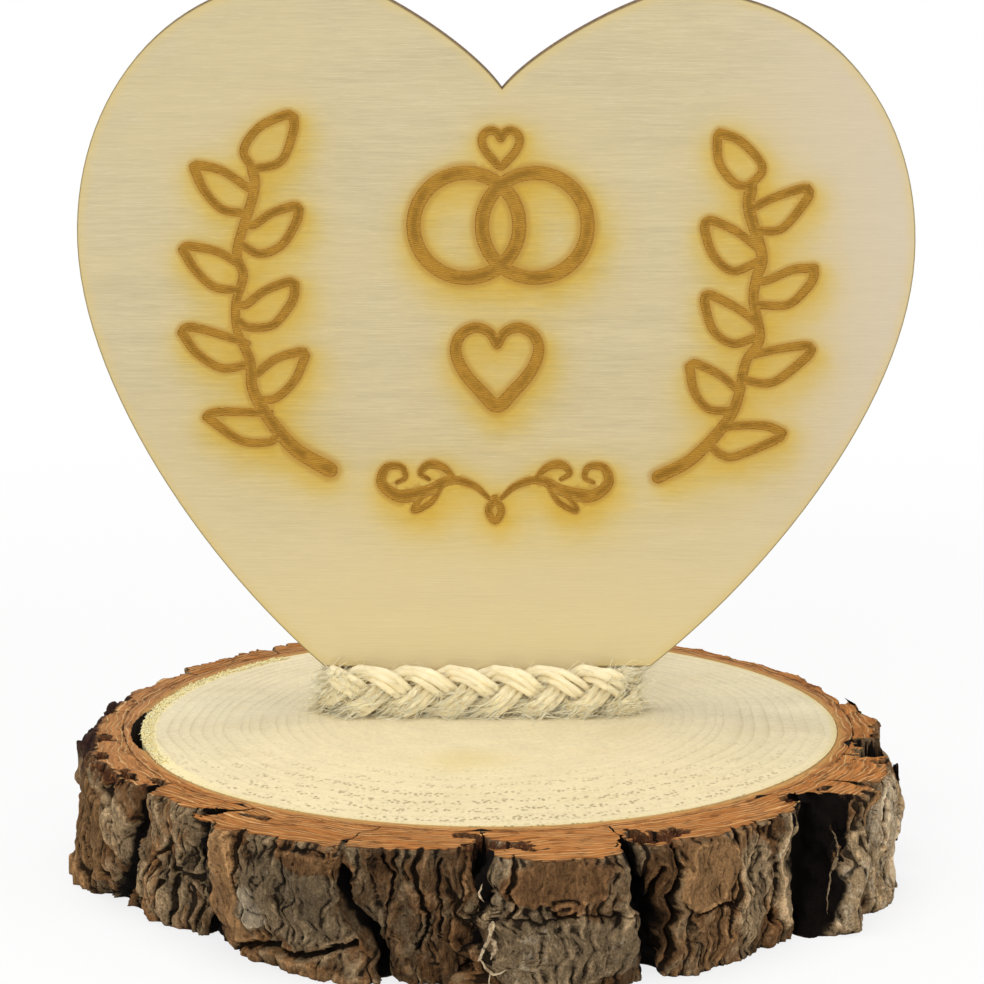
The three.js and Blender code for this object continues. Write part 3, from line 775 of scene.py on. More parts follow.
def drawn_cracks(seed, count):
    """Cracks up the back of the log."""
    rng = random.Random(seed)
    cracks = []
    for _ in range(count):
        turn = rng.uniform(0.0, BACK_OF_LOG)
        top = rng.choice([19.0, rng.uniform(8, 17)])
        lean = rng.uniform(-0.003, 0.003)
        foot = max(0.0, top - rng.uniform(6, 15))
        middle = (turn + lean + rng.uniform(-0.002, 0.002), (top + foot) / 2)
        line = [(turn, top), middle, (turn + 2 * lean, foot)]
        cracks.append((rng.uniform(0.2, 0.4), rng.uniform(1.0, 2.4), line))
    return cracks


def turns_apart(turn, other):
    """How many turns one place is past another, the short way round."""
    return (turn - other + 0.5) % 1 - 0.5


def near_line(turn, height, line):
    """Distance in millimetres from a crack's line, on the bark's face."""
    nearest = np.full(len(turn), np.inf)
    for (turn_a, height_a), (turn_b, height_b) in zip(line, line[1:]):
        x = turns_apart(turn, turn_a) * FACE_ROUND
        z = height - height_a
        run = (turn_b - turn_a) * FACE_ROUND
        rise = height_b - height_a
        along = np.clip((x * run + z * rise) / (run * run + rise * rise), 0, 1)
        nearest = np.minimum(nearest, np.hypot(x - along * run, z - along * rise))
    return nearest


def bark_relief(turn, height, settings, patches, cracks):
    """How deep the bark's face is carved, in millimetres, and what its look depends on."""

    def seamless(turn, height, across, up, start):
        """Places for noise without a seam, whose wave is so many millimetres round the log and up it."""
        reach = FACE_RADIUS / across
        angle = turn * FULL_TURN
        return reach * np.cos(angle) + start, reach * np.sin(angle), height / up + start

    def wave(*size):
        return wavy_at(*seamless(turn, height, *size))

    def scales(*size):
        """A cover of scales: how far each place is from its scale's edge, and two numbers for the scale."""
        rows = []
        for place in np.stack(seamless(ragged_turn, ragged_height, *size), 1).tolist():
            distances, centres = noise.voronoi(place)
            own = centres[0] * 9.7
            rows.append((distances[1] - distances[0], noise.cell(own), noise.cell(own * 3.1)))
        return np.transpose(rows)

    sway = 1.6 * wave(9, 15, 3.1) + 0.7 * wave(3, 6, 8.7)
    ragged = 0.9 * wave(5, 6, 12.3) + 0.4 * wave(1.7, 2.4, 17.9) + 0.2 * wave(0.8, 1.0, 19.9)
    ragged_turn = turn + (0.5 * sway + ragged) / FACE_ROUND
    ragged_height = height + 1.2 * ragged

    grey = 0.45 + 0.6 * wave(4, 9, 21.4)
    warm = 0.2 + 0.6 * wave(6, 8, 31.7)
    tone = 0.95 + 0.5 * wave(5, 7, 33.3)
    smooth = 0.15 + 0.3 * wave(7, 7, 35.1)
    proud = np.zeros(len(turn))
    for at, up, half_width, half_height, *look in patches:
        across = turns_apart(ragged_turn, at) * FACE_ROUND / half_width
        inside = np.exp(-((across**2 + ((ragged_height - up) / half_height) ** 2) ** 2))
        inside = stepped(inside, 0.12, 0.6)
        for field, goal in zip((grey, warm, smooth, proud, tone), look):
            field += inside * (goal - field)
    rough = 1 - np.clip(smooth, 0, 1)
    edge, lift, shade = scales(3.0, 11.0, 0.0)
    small_edge, small_lift, small_shade = scales(1.5, 5.0, 40.0)
    scaly = rough * (0.35 + 0.65 * stepped(wave(7, 9, 55.0), -0.3, 0.1))
    crevice = (1 - stepped(edge, 0.02, 0.24)) * scaly
    small_crevice = (1 - stepped(small_edge, 0.02, 0.3)) * scaly
    tone = tone + rough * (0.26 * shade + 0.16 * small_shade)
    grey = grey + rough * (0.3 * lift + 0.2 * small_lift)

    strips = (turn * FACE_ROUND + 1.5 * sway + 0.8 * ragged) / 2.7 + 0.5 * wave(4, 7, 5.2)
    across = strips % 1
    strip = np.where(across < 0.86, (across / 0.86) ** 1.6, (1 - across) / 0.14)
    strip *= stepped(wave(5, 9, 44.0), -0.3, 0.25)
    layers = 2.0 + 2.4 * wave(4.6, 13, 51.3) + 0.9 * wave(2.0, 5.5, 61.9)
    level = np.clip(np.floor(layers) + stepped(layers % 1, 0.0, 0.18), 0, 5)
    splits = np.exp(-((wave(3.1, 16, 1.3) / 0.05) ** 2)) * stepped(wave(6, 8, 41.1), -0.15, 0.2)
    checks = np.exp(-((wave(5, 2.0, 47.3) / 0.04) ** 2)) * stepped(wave(3, 3, 49.1), 0.1, 0.4)
    crumbs = wave(1.0, 1.5, 71.5) + 0.7 * wave(0.55, 1.0, 81.5)
    carved = (
        (0.7 * splits + 0.35 * checks) * (settings.crack_depth / MM) * (0.25 + 0.75 * rough)
        + 0.75 * crevice
        + 0.22 * small_crevice
        + scaly * (0.45 * lift + 0.14 * small_lift)
        + level * (settings.flake_step / MM) * (0.2 + 0.8 * rough)
        + 0.85 * strip * (0.12 + 0.88 * rough)
        + 0.6 * (0.5 + wave(6, 6, 91.0))
        + 0.4 * (0.5 + wave(2.4, 6.0, 95.0)) * (0.3 + 0.7 * rough)
        + 0.15 * (1 + crumbs) * (0.25 + 0.75 * rough)
        - proud
        - 0.5
        - 0.6 * stepped(height, 4.5, 0.5)
    )
    cracked = 0.4 * crevice
    for half_width, depth, line in cracks:
        away = near_line(ragged_turn, ragged_height, line)
        opened = 1 - stepped(away, 0.3 * half_width, 1.7 * half_width)
        carved += depth * opened
        cracked = np.maximum(cracked, opened * min(1.0, 0.5 * depth))

    at, up, half_width, half_height = BARK_KNOT
    from_knot = np.hypot(turns_apart(turn, at) * FACE_ROUND / half_width, (height - up) / half_height)
    carved += 0.45 * np.exp(-(((from_knot - 1) / 0.2) ** 2)) - 0.45 * stepped(from_knot, 1.0, 0.7)
    return carved, {"grey": grey, "warm": warm, "tone": tone, "cracked": cracked}


def fine_copy(node, cell):
    """A CAD node's mesh in small even faces: points in millimetres, faces and edges."""
    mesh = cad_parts[node].data.copy()
    mesh.materials.clear()
    welded = bmesh.new()
    welded.from_mesh(mesh)
    bmesh.ops.remove_doubles(welded, verts=welded.verts, dist=WELD)
    welded.to_mesh(mesh)
    welded.free()
    copy = bpy.data.objects.new("fine_copy", mesh)
    bpy.context.scene.collection.objects.link(copy)
    remesh = copy.modifiers.new("Cells", "REMESH")
    remesh.mode = "VOXEL"
    remesh.voxel_size = cell
    fine = bpy.data.meshes.new_from_object(copy.evaluated_get(bpy.context.evaluated_depsgraph_get()))
    faces = [list(face.vertices) for face in fine.polygons]
    edges = np.array([tuple(edge.vertices) for edge in fine.edges])
    points = mesh_points(fine)
    bpy.data.objects.remove(copy)
    bpy.data.meshes.remove(mesh)
    bpy.data.meshes.remove(fine)
    return points, faces, edges


def smoothed(values, edges, rounds):
    """Values at points, averaged with those of the points next to them."""
    ends, others = np.concatenate([edges, edges[:, ::-1]]).T
    count = np.maximum(np.bincount(ends, minlength=len(values)), 1)
    for _ in range(rounds):
        values = (values + np.bincount(ends, values[others], len(values)) / count) / 2
    return values


class Plate:
    """A plate of cork as fine faces, placed by turn, depth from its seat and height."""

    DEPTH_CELL = 0.6
    HEIGHT_CELL = 1.2
    DEPTHS = 30
    HEIGHTS = 16

    def __init__(self, node, cell):
        self.node = node
        points, self.faces, self.edges = fine_copy(node, cell)
        turn = turn_of(points)
        self.turn = np.where(turn > 0.5, turn - 1, turn) if turn.max() - turn.min() > 0.5 else turn
        self.height = points[:, 2]
        self.depth = np.maximum(np.hypot(points[:, 0], points[:, 1]) - bast_outside(turn), 0.0)
        self.starts = self.side_table(np.minimum, 1)
        self.ends = self.side_table(np.maximum, -1)
        self.face = np.maximum(self.face_depths(), 0.5)

    def side_table(self, outermost, sign):
        """The turn of a side wall by depth and height."""
        table = np.full((self.DEPTHS, self.HEIGHTS), sign * np.inf)
        cells = (self.depth / self.DEPTH_CELL).astype(int), (self.height / self.HEIGHT_CELL).astype(int)
        outermost.at(table, cells, self.turn)
        for row in table.T:
            known = np.isfinite(row)
            row[:] = np.interp(np.arange(self.DEPTHS), np.nonzero(known)[0], row[known])
        return table

    def looked_up(self, table):
        """The table's value at each point, even between its cells."""
        at = [
            np.clip(places / cell - 0.5, 0, count - 1.001)
            for places, cell, count in (
                (self.depth, self.DEPTH_CELL, self.DEPTHS), (self.height, self.HEIGHT_CELL, self.HEIGHTS))
        ]
        (i, u), (j, v) = ((part.astype(int), part % 1) for part in at)
        low = table[i, j] * (1 - v) + table[i, j + 1] * v
        high = table[i + 1, j] * (1 - v) + table[i + 1, j + 1] * v
        return low * (1 - u) + high * u

    def face_depths(self):
        """The depth of the plate's face in each point's direction."""
        column = ((self.turn - self.turn.min()) * FACE_ROUND / 0.9).astype(int)
        row = (self.height / self.HEIGHT_CELL).astype(int)
        columns, rows = column.max() + 1, row.max() + 1
        grid = np.zeros((columns, rows))
        np.maximum.at(grid, (column, row), self.depth)
        padded = np.pad(grid, 1, mode="edge")
        total = sum(padded[i : i + columns, j : j + rows] for i in range(3) for j in range(3))
        wide = np.pad(grid, ((4, 4), (0, 0)), mode="edge")
        widest = np.max([wide[i : i + columns] for i in range(9)], axis=0)
        self.envelope = widest[column, row]
        return np.maximum((total / 9)[column, row], self.depth)


def closed_fissures(plates):
    """Moves the plates' side walls together where their fissures have grown shut."""
    shifts = []
    for plate, after in zip(plates, plates[1:] + plates[:1]):
        gap = turns_apart(after.starts, plate.ends)
        shifts.append(np.maximum(gap * FACE_ROUND - PLATE_GAP, 0) / 2)
    for i, plate in enumerate(plates):
        start, end = plate.looked_up(plate.starts), plate.looked_up(plate.ends)
        across = np.clip((plate.turn - start) / np.maximum(end - start, 1e-4), 0, 1)
        out = plate.depth / plate.face + 0.16 * wavy_at(plate.depth / 2, plate.height / 3, 2.0 * i)
        # How far below the face the fissure's painted shade turns black, from one side wall to the other
        plate.black_from = FISSURES[i - 1][2] * (1 - across) + FISSURES[i][2] * across
        for fissure, share, sign in ((i - 1, 1 - across, -1), (i, across, 1)):
            closed, closed_top, _ = FISSURES[fissure]
            limit = closed + (closed_top - closed) * stepped(plate.height, *SAWN_TOP_FROM)
            shut = 1 - stepped(out - limit, -0.08, 0.1)
            plate.turn = plate.turn + sign * share**3 * shut * plate.looked_up(shifts[fissure]) / FACE_ROUND
        low, high = (np.interp(plate.turn, *np.transpose(rows)) for rows in (GROWTH_LOW, GROWTH_TOP))
        grown = high + (low - high) * (1 - plate.height / SLICE_TOP) ** 2
        plate.turn = plate.turn + grown * stepped(plate.depth, 0.0, 4.0) / FACE_ROUND


def broken_away(turn, radius, out):
    """How deep the sawn top has broken away, along its rim and in pits, where it is torn, and where deep
    pits are painted black as shade.
    """
    arc = turn * FACE_ROUND
    ragged = 0.7 * wavy_at(arc / 2.6, radius / 2.6, 0) + 0.45 * wavy_at(arc / 0.9, radius / 0.9, 5)
    rim = np.interp(turn % 1, *np.transpose(RIM_LOSS))
    loss = np.maximum(rim * (1 + ragged) * stepped(out + 0.12 * ragged, 1 - 0.07 * (1 + rim), 1.0), 0)
    torn = np.zeros(len(turn))
    black = np.zeros(len(turn))
    for at, from_centre, half_along, half_across, depth in PITS:
        along = turns_apart(turn, at) * FACE_ROUND / half_along
        away = np.hypot(along, (radius - from_centre) / half_across) + 1.5 * ragged
        inside = stepped(away, 1.15, 0.5)
        opened = stepped(inside, 0.01, 0.12)
        loss = np.maximum(loss, depth * inside)
        torn = np.maximum(torn, opened)
        black = np.maximum(black, opened * (depth > BLACK_PIT))
    return loss, torn, black


def cork_plate(plate, finish, settings, patches, cracks):
    """A plate of cork, carved on its face. Its sawn top and underside stay flat."""
    turn, depth, height, face = plate.turn, plate.depth, plate.height, plate.face
    below = plate.envelope - depth
    out = np.clip(depth / face, 0, 1)
    carved, look = bark_relief(turn, height, settings, patches, cracks)
    carved = np.clip(carved, -0.3 - 0.3 * stepped(height, 5.0, 1.0), 0.5 * face)
    # How far each point lies below its neighbours, cracks added: the finish paints shade where it is
    # positive and a highlight where it is negative
    cavity = carved - smoothed(carved, plate.edges, 10)
    cavity = cavity * out + 0.3 * look.pop("cracked")
    depth = depth - carved * out**2.2
    arc = turn * FACE_ROUND
    drift = 0.7 * wavy_at(arc / 2.4, height / 4, depth / 3)
    drift += 0.5 * wavy_at(arc / 1.5, height / 1.6, depth / 1.4)
    drift *= 0.4 + 0.6 * stepped(height, 18.5, 15.5)
    drift += 1.1 * wavy_at(arc / 14, height / 2.6, depth / 3.5)
    turn = turn + drift * stepped(depth, 0.3, 3.0) / FACE_ROUND

    to_end = np.minimum(height, SLICE_TOP - height)
    at_end = to_end < 0.6 * settings.cell / MM
    chips = 0.9 * np.maximum(wavy_at(turn * FACE_ROUND / 2.2, depth / 2.2, 7) - 0.05, 0)
    chips *= stepped(out, 0.8, 1.0) * (height < SLICE_TOP / 2) * stepped(to_end, 3, 0)
    height = np.where(at_end, np.where(height > SLICE_TOP / 2, SLICE_TOP, 0.0), height) + chips
    angle = turn * FULL_TURN
    radius = bast_outside(turn % 1) + depth - 0.27 * stepped(depth, 1.5, 0.3)
    lost, torn, black = broken_away(turn, radius, out)
    near_top = stepped(SLICE_TOP - height, 1.0 + 1.7 * lost, 0.0)
    height -= lost * near_top
    torn *= near_top
    # Painted shade: black deep in the fissures below the face, in deep torn places and in deep pits
    hollow = stepped(below, plate.black_from, plate.black_from + 2.2) * (1 - at_end * (out < 0.9))
    hollow = np.maximum(hollow, np.maximum(stepped(lost, 1.3, 3.0) * torn, black * (near_top > 0)))
    look |= {"cavity": cavity, "hollow": hollow, "out": out, "torn": torn}
    shape = Shape()
    x = np.maximum(radius * np.cos(angle), cad_bounds[0][0] / MM)
    shape.add(np.stack([x, radius * np.sin(angle), height], 1), plate.faces, **look)
    return shape.piece(plate.node.replace("bark", "cork"), [finish], [plate.node])


# Where a fissure of the outer bark cuts into the inner bark: turn, half its width, depth
BAST_NOTCHES = [(0.747, 1.1, 1.2), (0.8775, 1.0, 0.9), (0.638, 0.8, 0.7), (0.972, 1.3, 1.0)]

# Steps round the ring of inner bark, and the gap between it and the wood
BAST_STEPS = 900
BAST_SLACK = 0.03

# The gap where the ring has dried away from the wood: turn of its middle, half its length in turns and
# its width in millimetres
BAST_OPENING = (0.507, 0.036, 1.5)

# The ring's cross section: share of the way from its inside to its outside, and height
BAST_PROFILE = [(0.0, 0.0), (1.0, 0.0), (1.0, SLICE_TOP), (0.12, SLICE_TOP), (0.0, SLICE_TOP - 0.12)]

# Pale fibres torn out of the fissure in front: half the width, and places in the CAD frame
SHREDS = [
    (0.16, [(-0.9, -61.8, 14.6), (-1.2, -63.4, 13.6), (-0.6, -64.2, 13.0)]),
    (0.6, [(0.6, -64.0, 10.4), (0.1, -65.0, 8.4), (-0.7, -64.9, 6.6), (-1.4, -64.4, 5.0)]),
    (0.45, [(0.1, -64.8, 8.4), (0.9, -65.2, 7.0), (0.4, -64.8, 5.4)]),
    (0.34, [(-1.2, -64.5, 5.2), (0.2, -65.1, 3.6), (1.0, -65.3, 3.4), (2.4, -65.6, 4.1)]),
    (0.24, [(0.2, -65.1, 3.5), (0.0, -65.2, 1.4)]),
]


def inner_bark_piece(finish):
    """The ring of inner bark, ragged where it was sawn and notched by the fissures."""
    turn = np.arange(BAST_STEPS) / BAST_STEPS
    around = np.column_stack([circle(BAST_STEPS), np.zeros(BAST_STEPS)])
    ragged = 0.16 * wavy(around * middle_radius / 1.1) + 0.12 * wavy(around * middle_radius / 3.5 + 4)
    at, half_length, opening = BAST_OPENING
    gap = np.maximum(1 - (turns_apart(turn, at) / half_length) ** 2, 0)
    inside = wood_edge(turn) + BAST_SLACK + opening * gap**0.7
    inside += np.abs(ragged) * (0.2 + 1.6 * stepped(gap, 0, 0.3))
    outside = bast_outside(turn)
    for at, half_width, depth in BAST_NOTCHES:
        away = turns_apart(turn, at) * FULL_TURN * middle_radius / half_width
        outside = outside - depth * np.exp(-(away**2))
    rings = [
        around * (inside + (outside - inside) * across)[:, None] + (0, 0, height)
        for across, height in BAST_PROFILE
    ]
    shape = Shape()
    shape.add(np.stack(rings, 1).reshape(-1, 3), ring_faces(BAST_STEPS, len(BAST_PROFILE), closed=True))
    return shape.piece("inner_bark_ring", [finish], ["inner_bark"])


# Pale and dark colour of each kind of fibre
FIBRES = {
    "torn_bast": ((1.0, 0.91, 0.52), (0.98, 0.80, 0.36)),
    "torn_fibre": ((0.62, 0.48, 0.29), (0.24, 0.14, 0.06)),
    "hemp_hair": ((1.0, 0.96, 0.74), (0.98, 0.82, 0.48)),
}


def fibre_finish(name):
    """Streaked plant fibre with a little sheen."""
    finish = Finish(name)
    pale, dark = FIBRES[name]
    streak = finish.rise(finish.noise((0.7, 0.7, 0.7), detail=3.0), 0.25, 0.6)
    return finish.surface(finish.mix(dark, pale, streak), 0.75, specular=0.25, sheen=0.2)


def rim_fibres(settings):
    """Torn fibres on the wood's edge, where the inner bark has dried away from it."""
    rng = random.Random(11)
    shape = Shape()
    for _ in range(settings.rim_fibres):
        turn = rng.choice([rng.gauss(0.505, 0.022), rng.uniform(0.36, 0.565)])
        angle = turn * FULL_TURN
        out = np.array([math.cos(angle), math.sin(angle), 0])
        along = np.array([-math.sin(angle), math.cos(angle), 0])
        start = out * (wood_edge(turn) - rng.uniform(-0.05, 1.5)) + (0, 0, SLICE_TOP - 0.02)
        lean = out * rng.uniform(-0.4, 0.5) + along * rng.uniform(-1.2, 1.2)
        reach = rng.uniform(0.3, 1.3)
        t = np.linspace(0, 1, 4)[:, None]
        path = start + lean * reach * t + np.array([0, 0, rng.uniform(0.05, 0.3)]) * np.sin(2.6 * t)
        hair(shape, path, rng.uniform(0.07, 0.2))
    return shape.piece("rim_fibres", [fibre_finish("torn_bast")])


# A flake of cork that stands loose in the fissure on the right, in the same way
FLAKES = [
    (0.3, [(46.7, -40.8, 15.6), (47.6, -39.7, 13.3), (47.5, -40.1, 11.5), (46.7, -41.1, 9.8),
           (46.3, -41.5, 7.4), (46.2, -41.7, 3.9)]),
]


# Distance between two rings of a ribbon, and its thickness as a share of its width
RIBBON_STEP = 0.22
RIBBON_THICKNESS = 0.45


def ribbons(name, rows, slot, finish, **marks):
    """Ragged ribbons that thin towards both ends."""
    shape = Shape()
    for half_width, places in rows:
        path = smooth_line(places, RIBBON_STEP)
        path = path + 0.2 * np.stack([wavy(path / 0.9 + start) for start in (0.0, 9.0, 18.0)], 1)
        swell = np.sin(np.linspace(0.35, 2.9, len(path))) * (1 + 0.5 * wavy(path / 0.6))
        section = (half_width * swell)[:, None, None] * circle(8) * (1, RIBBON_THICKNESS)
        tube(shape, path, path_frames(path), section, **marks)
    return shape.piece(name, [finish])


# Heart

# The two sprigs in millimetres across and up the heart's face: the stem's width at its start, in its
# middle and at its end as shares of a leaf's line, the stem's places, and the leaves. A leaf's line
# leaves the stem, turns at the leaf's tip and comes back to the stem.
LEFT_SPRIG = ((1.25, 1.05, 1.95), [
    (-33.8, 99.5), (-33.6, 96.1), (-36.1, 87.7), (-35.3, 84), (-36.4, 79.9), (-36.2, 75.7), (-34.5, 71.6),
    (-34.1, 67.2), (-31.7, 62.8), (-28.1, 58.5), (-23.1, 55.4)], [
    [(-33.8, 99.5), (-35, 102.1), (-32.8, 105.3), (-29, 107.1), (-27.8, 106.7), (-27.9, 104.7),
     (-29.7, 100.5), (-33.8, 99.3)],
    [(-34.3, 96.6), (-38.1, 99.1), (-41.7, 99.9), (-42.1, 99.4), (-40.7, 96.3), (-38.2, 93.6), (-34.8, 93)],
    [(-33.7, 91.3), (-31.1, 93), (-27.9, 94), (-27.2, 93.5), (-27.6, 91.7), (-29.7, 88.4), (-32.8, 87.1),
     (-35.6, 88.5)],
    [(-35.7, 85.6), (-38.9, 87.4), (-42.9, 88.2), (-43.9, 87.7), (-42.2, 84.8), (-39.5, 82.3),
     (-35.8, 81.8)],
    [(-35, 79.7), (-32.3, 81.7), (-28.9, 83), (-27.9, 82.6), (-28, 81), (-28.9, 79.2), (-31.2, 76.7),
     (-34.6, 76.4), (-36, 77.3)],
    [(-35.3, 74.2), (-41.6, 76.2), (-43.6, 76.3), (-44.2, 75.6), (-42.1, 72.6), (-38.5, 70.4), (-34.6, 71)],
    [(-33.6, 69.6), (-30.7, 71.8), (-27.1, 72.8), (-26.5, 72.2), (-28, 68.7), (-30.8, 66), (-33.5, 65.7)],
    [(-32, 63.8), (-38.2, 64), (-40.2, 63.7), (-40.8, 63.2), (-36.1, 59.8), (-32, 59.5), (-30.4, 60.6)],
])
RIGHT_SPRIG = ((1.5, 1.1, 1.6), [
    (37.5, 96.9), (37.3, 93.5), (39.2, 86.8), (38.4, 83.4), (38.1, 80.1), (39.1, 74.8), (37.1, 71.3),
    (35.3, 64), (29.9, 57.4), (24.6, 54.3)], [
    [(37.5, 97.2), (39, 98.9), (38.6, 100.7), (35.7, 103.5), (33, 104.5), (32.6, 103.5), (33, 100.1),
     (35.2, 97.3), (37.1, 96.9)],
    [(37.7, 93.7), (40.9, 95.3), (45.1, 96.6), (45.8, 96.1), (45.4, 94.8), (41.9, 90.7), (38, 90.6)],
    [(38.6, 88), (35.6, 90.3), (32.1, 91.9), (31.1, 91.6), (31, 90.3), (32.3, 86.8), (35.1, 84.6),
     (38.6, 85.9)],
    [(38.7, 83), (40.4, 83.4), (43.7, 84.8), (46.7, 85), (46.7, 83.9), (45.9, 82.3), (43, 79.7),
     (38.4, 79.7)],
    [(38.8, 76.9), (35.9, 79.1), (32.2, 81), (31.2, 81), (31.1, 79.7), (32.4, 75.9), (35.3, 74),
     (38.8, 75.1)],
    [(37.8, 72.3), (41.7, 73.2), (45.7, 73.7), (46.5, 73.1), (45.6, 71.8), (41.2, 68.4), (37.6, 68.5),
     (36.4, 69.3)],
    [(36, 67.2), (33.4, 69.4), (30, 71), (29, 70.6), (29.7, 67), (31.8, 64.4), (35.3, 64.1)],
    [(33.6, 61.4), (35.6, 61.9), (40, 61.9), (42.5, 60.9), (41.5, 59.8), (35.8, 57.4), (33.8, 57.6),
     (32.1, 58.9)],
])


def scaled(line, centre_x, centre_z, size):
    """A line drawn round (0, 0) at its place and size on the heart."""
    return [(centre_x + x * size, centre_z + z * size) for x, z in line]


def circle_line(centre_x, centre_z, radius, widths):
    circled = [(math.cos(angle), math.sin(angle)) for angle in np.linspace(0, FULL_TURN, 25)]
    return (*widths, scaled(circled, centre_x, centre_z, radius))


def heart_line(centre_x, centre_z, height, widths):
    """A small heart's outline, from its cleft down its right side and back up its left."""
    right = [
        (0, 0.28), (0.1, 0.44), (0.28, 0.5), (0.46, 0.4), (0.52, 0.2), (0.42, -0.06), (0.2, -0.32),
        (0, -0.5)]
    return (*widths, scaled(right + [(-x, z) for x, z in right[-2::-1]], centre_x, centre_z, height))


def scroll_lines(centre_x, centre_z, size):
    """A flourish of two scrolls, mirrored, that meet in a drop."""
    scroll = [
        (0.06, -0.02), (0.2, 0.1), (0.42, 0.15), (0.66, 0.04), (0.9, 0.0), (1.06, 0.12), (1.02, 0.27),
        (0.88, 0.28), (0.84, 0.18), (0.92, 0.13)]
    branch = [(0.36, 0.14), (0.48, 0.27), (0.62, 0.3), (0.7, 0.22), (0.62, 0.16)]
    leaf = [(0.5, 0.1), (0.6, -0.06), (0.76, -0.14), (0.7, -0.02), (0.58, 0.07)]
    drop = [(0, -0.02), (0.06, -0.14), (0, -0.24), (-0.06, -0.14), (0, -0.02)]
    half = [((0.55, 1.7, 0.5), scroll), ((0.5, 1.1, 0.5), branch), ((0.6, 0.8, 0.6), leaf)]
    lines = [
        (*widths, scaled([(side * x, z) for x, z in line], centre_x, centre_z, size))
        for side in (-1, 1) for widths, line in half
    ]
    return lines + [(0.9, 0.9, 0.9, scaled(drop, centre_x, centre_z, size))]


ORNAMENT = [
    circle_line(-3.2, 91.2, 7.6, (1.7, 1.7, 1.7)),
    circle_line(6.6, 91.2, 7.6, (1.7, 1.7, 1.7)),
    heart_line(1.7, 102.3, 5.2, (1.0, 1.0, 1.0)),
    heart_line(1.2, 70.6, 11.5, (1.1, 1.7, 1.1)),
    *scroll_lines(0.9, 51.5, 15.5),
]

# Distance between two places on an engraved line
LINE_STEP = 0.34

# The smoke's stain: how far it spreads from a line and how far it has drifted, in millimetres, and
# how strong it is
SMOKE = [(0.7, (0.3, -0.5), 0.44), (1.7, (0.5, -1.3), 0.16), (3.6, (1.0, -2.5), 0.018)]

# The face's triangles: how far inside the outline its rims lie, how far apart its loose points are
# away from the lines and near them, and how near that is
EDGE_INSETS = (0.22, 0.9, 2.0)
FACE_GRID = 1.5
FINE_GRID = 0.62
FINE_REACH = 3.6

# Distance from a line's middle, in halves of its width, past which places aren't told apart
FAR_FROM_LINES = 3.0


def engraved_lines(settings):
    """Each engraved line as places on the heart's face and half its width at each of them."""
    drawn = list(ORNAMENT)
    for stem_widths, stem, leaves in (LEFT_SPRIG, RIGHT_SPRIG):
        drawn.append((*stem_widths, stem))
        along = smooth_line(stem, LINE_STEP)
        for leaf in leaves:
            joints = [along[np.argmin(((along - leaf[i]) ** 2).sum(1))] for i in (0, -1)]
            tip = int(np.argmax(((np.array(leaf) - np.mean(joints, 0)) ** 2).sum(1)))
            drawn.append((1.0, 1.0, 1.15, [joints[0], *leaf[: tip + 1]]))
            drawn.append((1.15, 1.0, 1.0, [*leaf[tip:], joints[1]]))
    lines = []
    for start, middle, end, places in drawn:
        line = smooth_line(places, LINE_STEP)
        widths = np.interp(np.linspace(0, 1, len(line)), [0, 0.5, 1], [start, middle, end])
        lines.append((line, 0.5 * widths * settings.leaf_line / MM))
    return lines


def line_border(line, half):
    """The closed border of a line with round ends."""
    along = unit(np.gradient(line, axis=0))
    across = np.stack([-along[:, 1], along[:, 0]], 1)
    sides = [line + across * half[:, None], (line - across * half[:, None])[::-1]]
    border = []
    for side, end, out in zip(sides, (-1, 0), (across[-1], -across[0])):
        angles = math.atan2(out[1], out[0]) - np.linspace(0, math.pi, 8)[1:-1]
        border += [side, line[end] + half[end] * np.stack([np.cos(angles), np.sin(angles)], 1)]
    return np.concatenate(border)


def front_outline(node):
    """The heart's outline, anticlockwise from the front, from the edges round a ply's front face."""
    mesh = bmesh.new()
    mesh.from_mesh(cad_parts[node].data)
    bmesh.ops.remove_doubles(mesh, verts=mesh.verts, dist=WELD)
    front = {face for face in mesh.faces if face.calc_center_median().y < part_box(node)[0].y + 10 * WELD}
    following = {}
    for loop in (loop for face in front for loop in face.loops):
        if any(other.face not in front for other in loop.edge.link_loops):
            following[loop.vert] = loop.link_loop_next.vert
    outline = [min(following, key=lambda vert: tuple(vert.co))]
    while following[outline[-1]] != outline[0]:
        outline.append(following[outline[-1]])
    places = np.array([(vert.co.x, vert.co.z) for vert in outline]) / MM
    mesh.free()
    area = np.sum(places[:, 0] * np.roll(places[:, 1], -1) - np.roll(places[:, 0], -1) * places[:, 1])
    return places if area > 0 else places[::-1]


def inset(outline, distance):
    """The outline moved inwards, each point along the middle of its two edges' directions."""
    inward = 0
    for edge in (outline - np.roll(outline, 1, 0), np.roll(outline, -1, 0) - outline):
        inward = inward + unit(edge)[:, ::-1] * (-1, 1)
    return outline + distance * inward / np.maximum((inward * inward).sum(1, keepdims=True) / 2, 0.4)


def is_inside(places, outline):
    """Which places lie inside an outline, by how often a line to the right crosses it."""
    crossings = np.zeros(len(places), int)
    for (x_a, z_a), (x_b, z_b) in zip(outline, np.roll(outline, -1, 0)):
        spans = (z_a > places[:, 1]) != (z_b > places[:, 1])
        if z_a != z_b:
            crossing = x_a + (places[:, 1] - z_a) * (x_b - x_a) / (z_b - z_a)
            crossings += spans & (places[:, 0] < crossing)
    return crossings % 2 == 1


def triangulated(loops, points):
    """Triangles over closed loops and loose points, with every loop's edges kept."""
    edges = []
    for loop in loops:
        ids = len(edges) + np.arange(len(loop))
        edges += zip(ids.tolist(), np.roll(ids, -1).tolist())
    places = [Vector(place) for part in (*loops, points) for place in part]
    result = delaunay_2d_cdt(places, edges, [], 0, 1e-5, False)
    return np.array([tuple(place) for place in result[0]]), np.array(result[2])


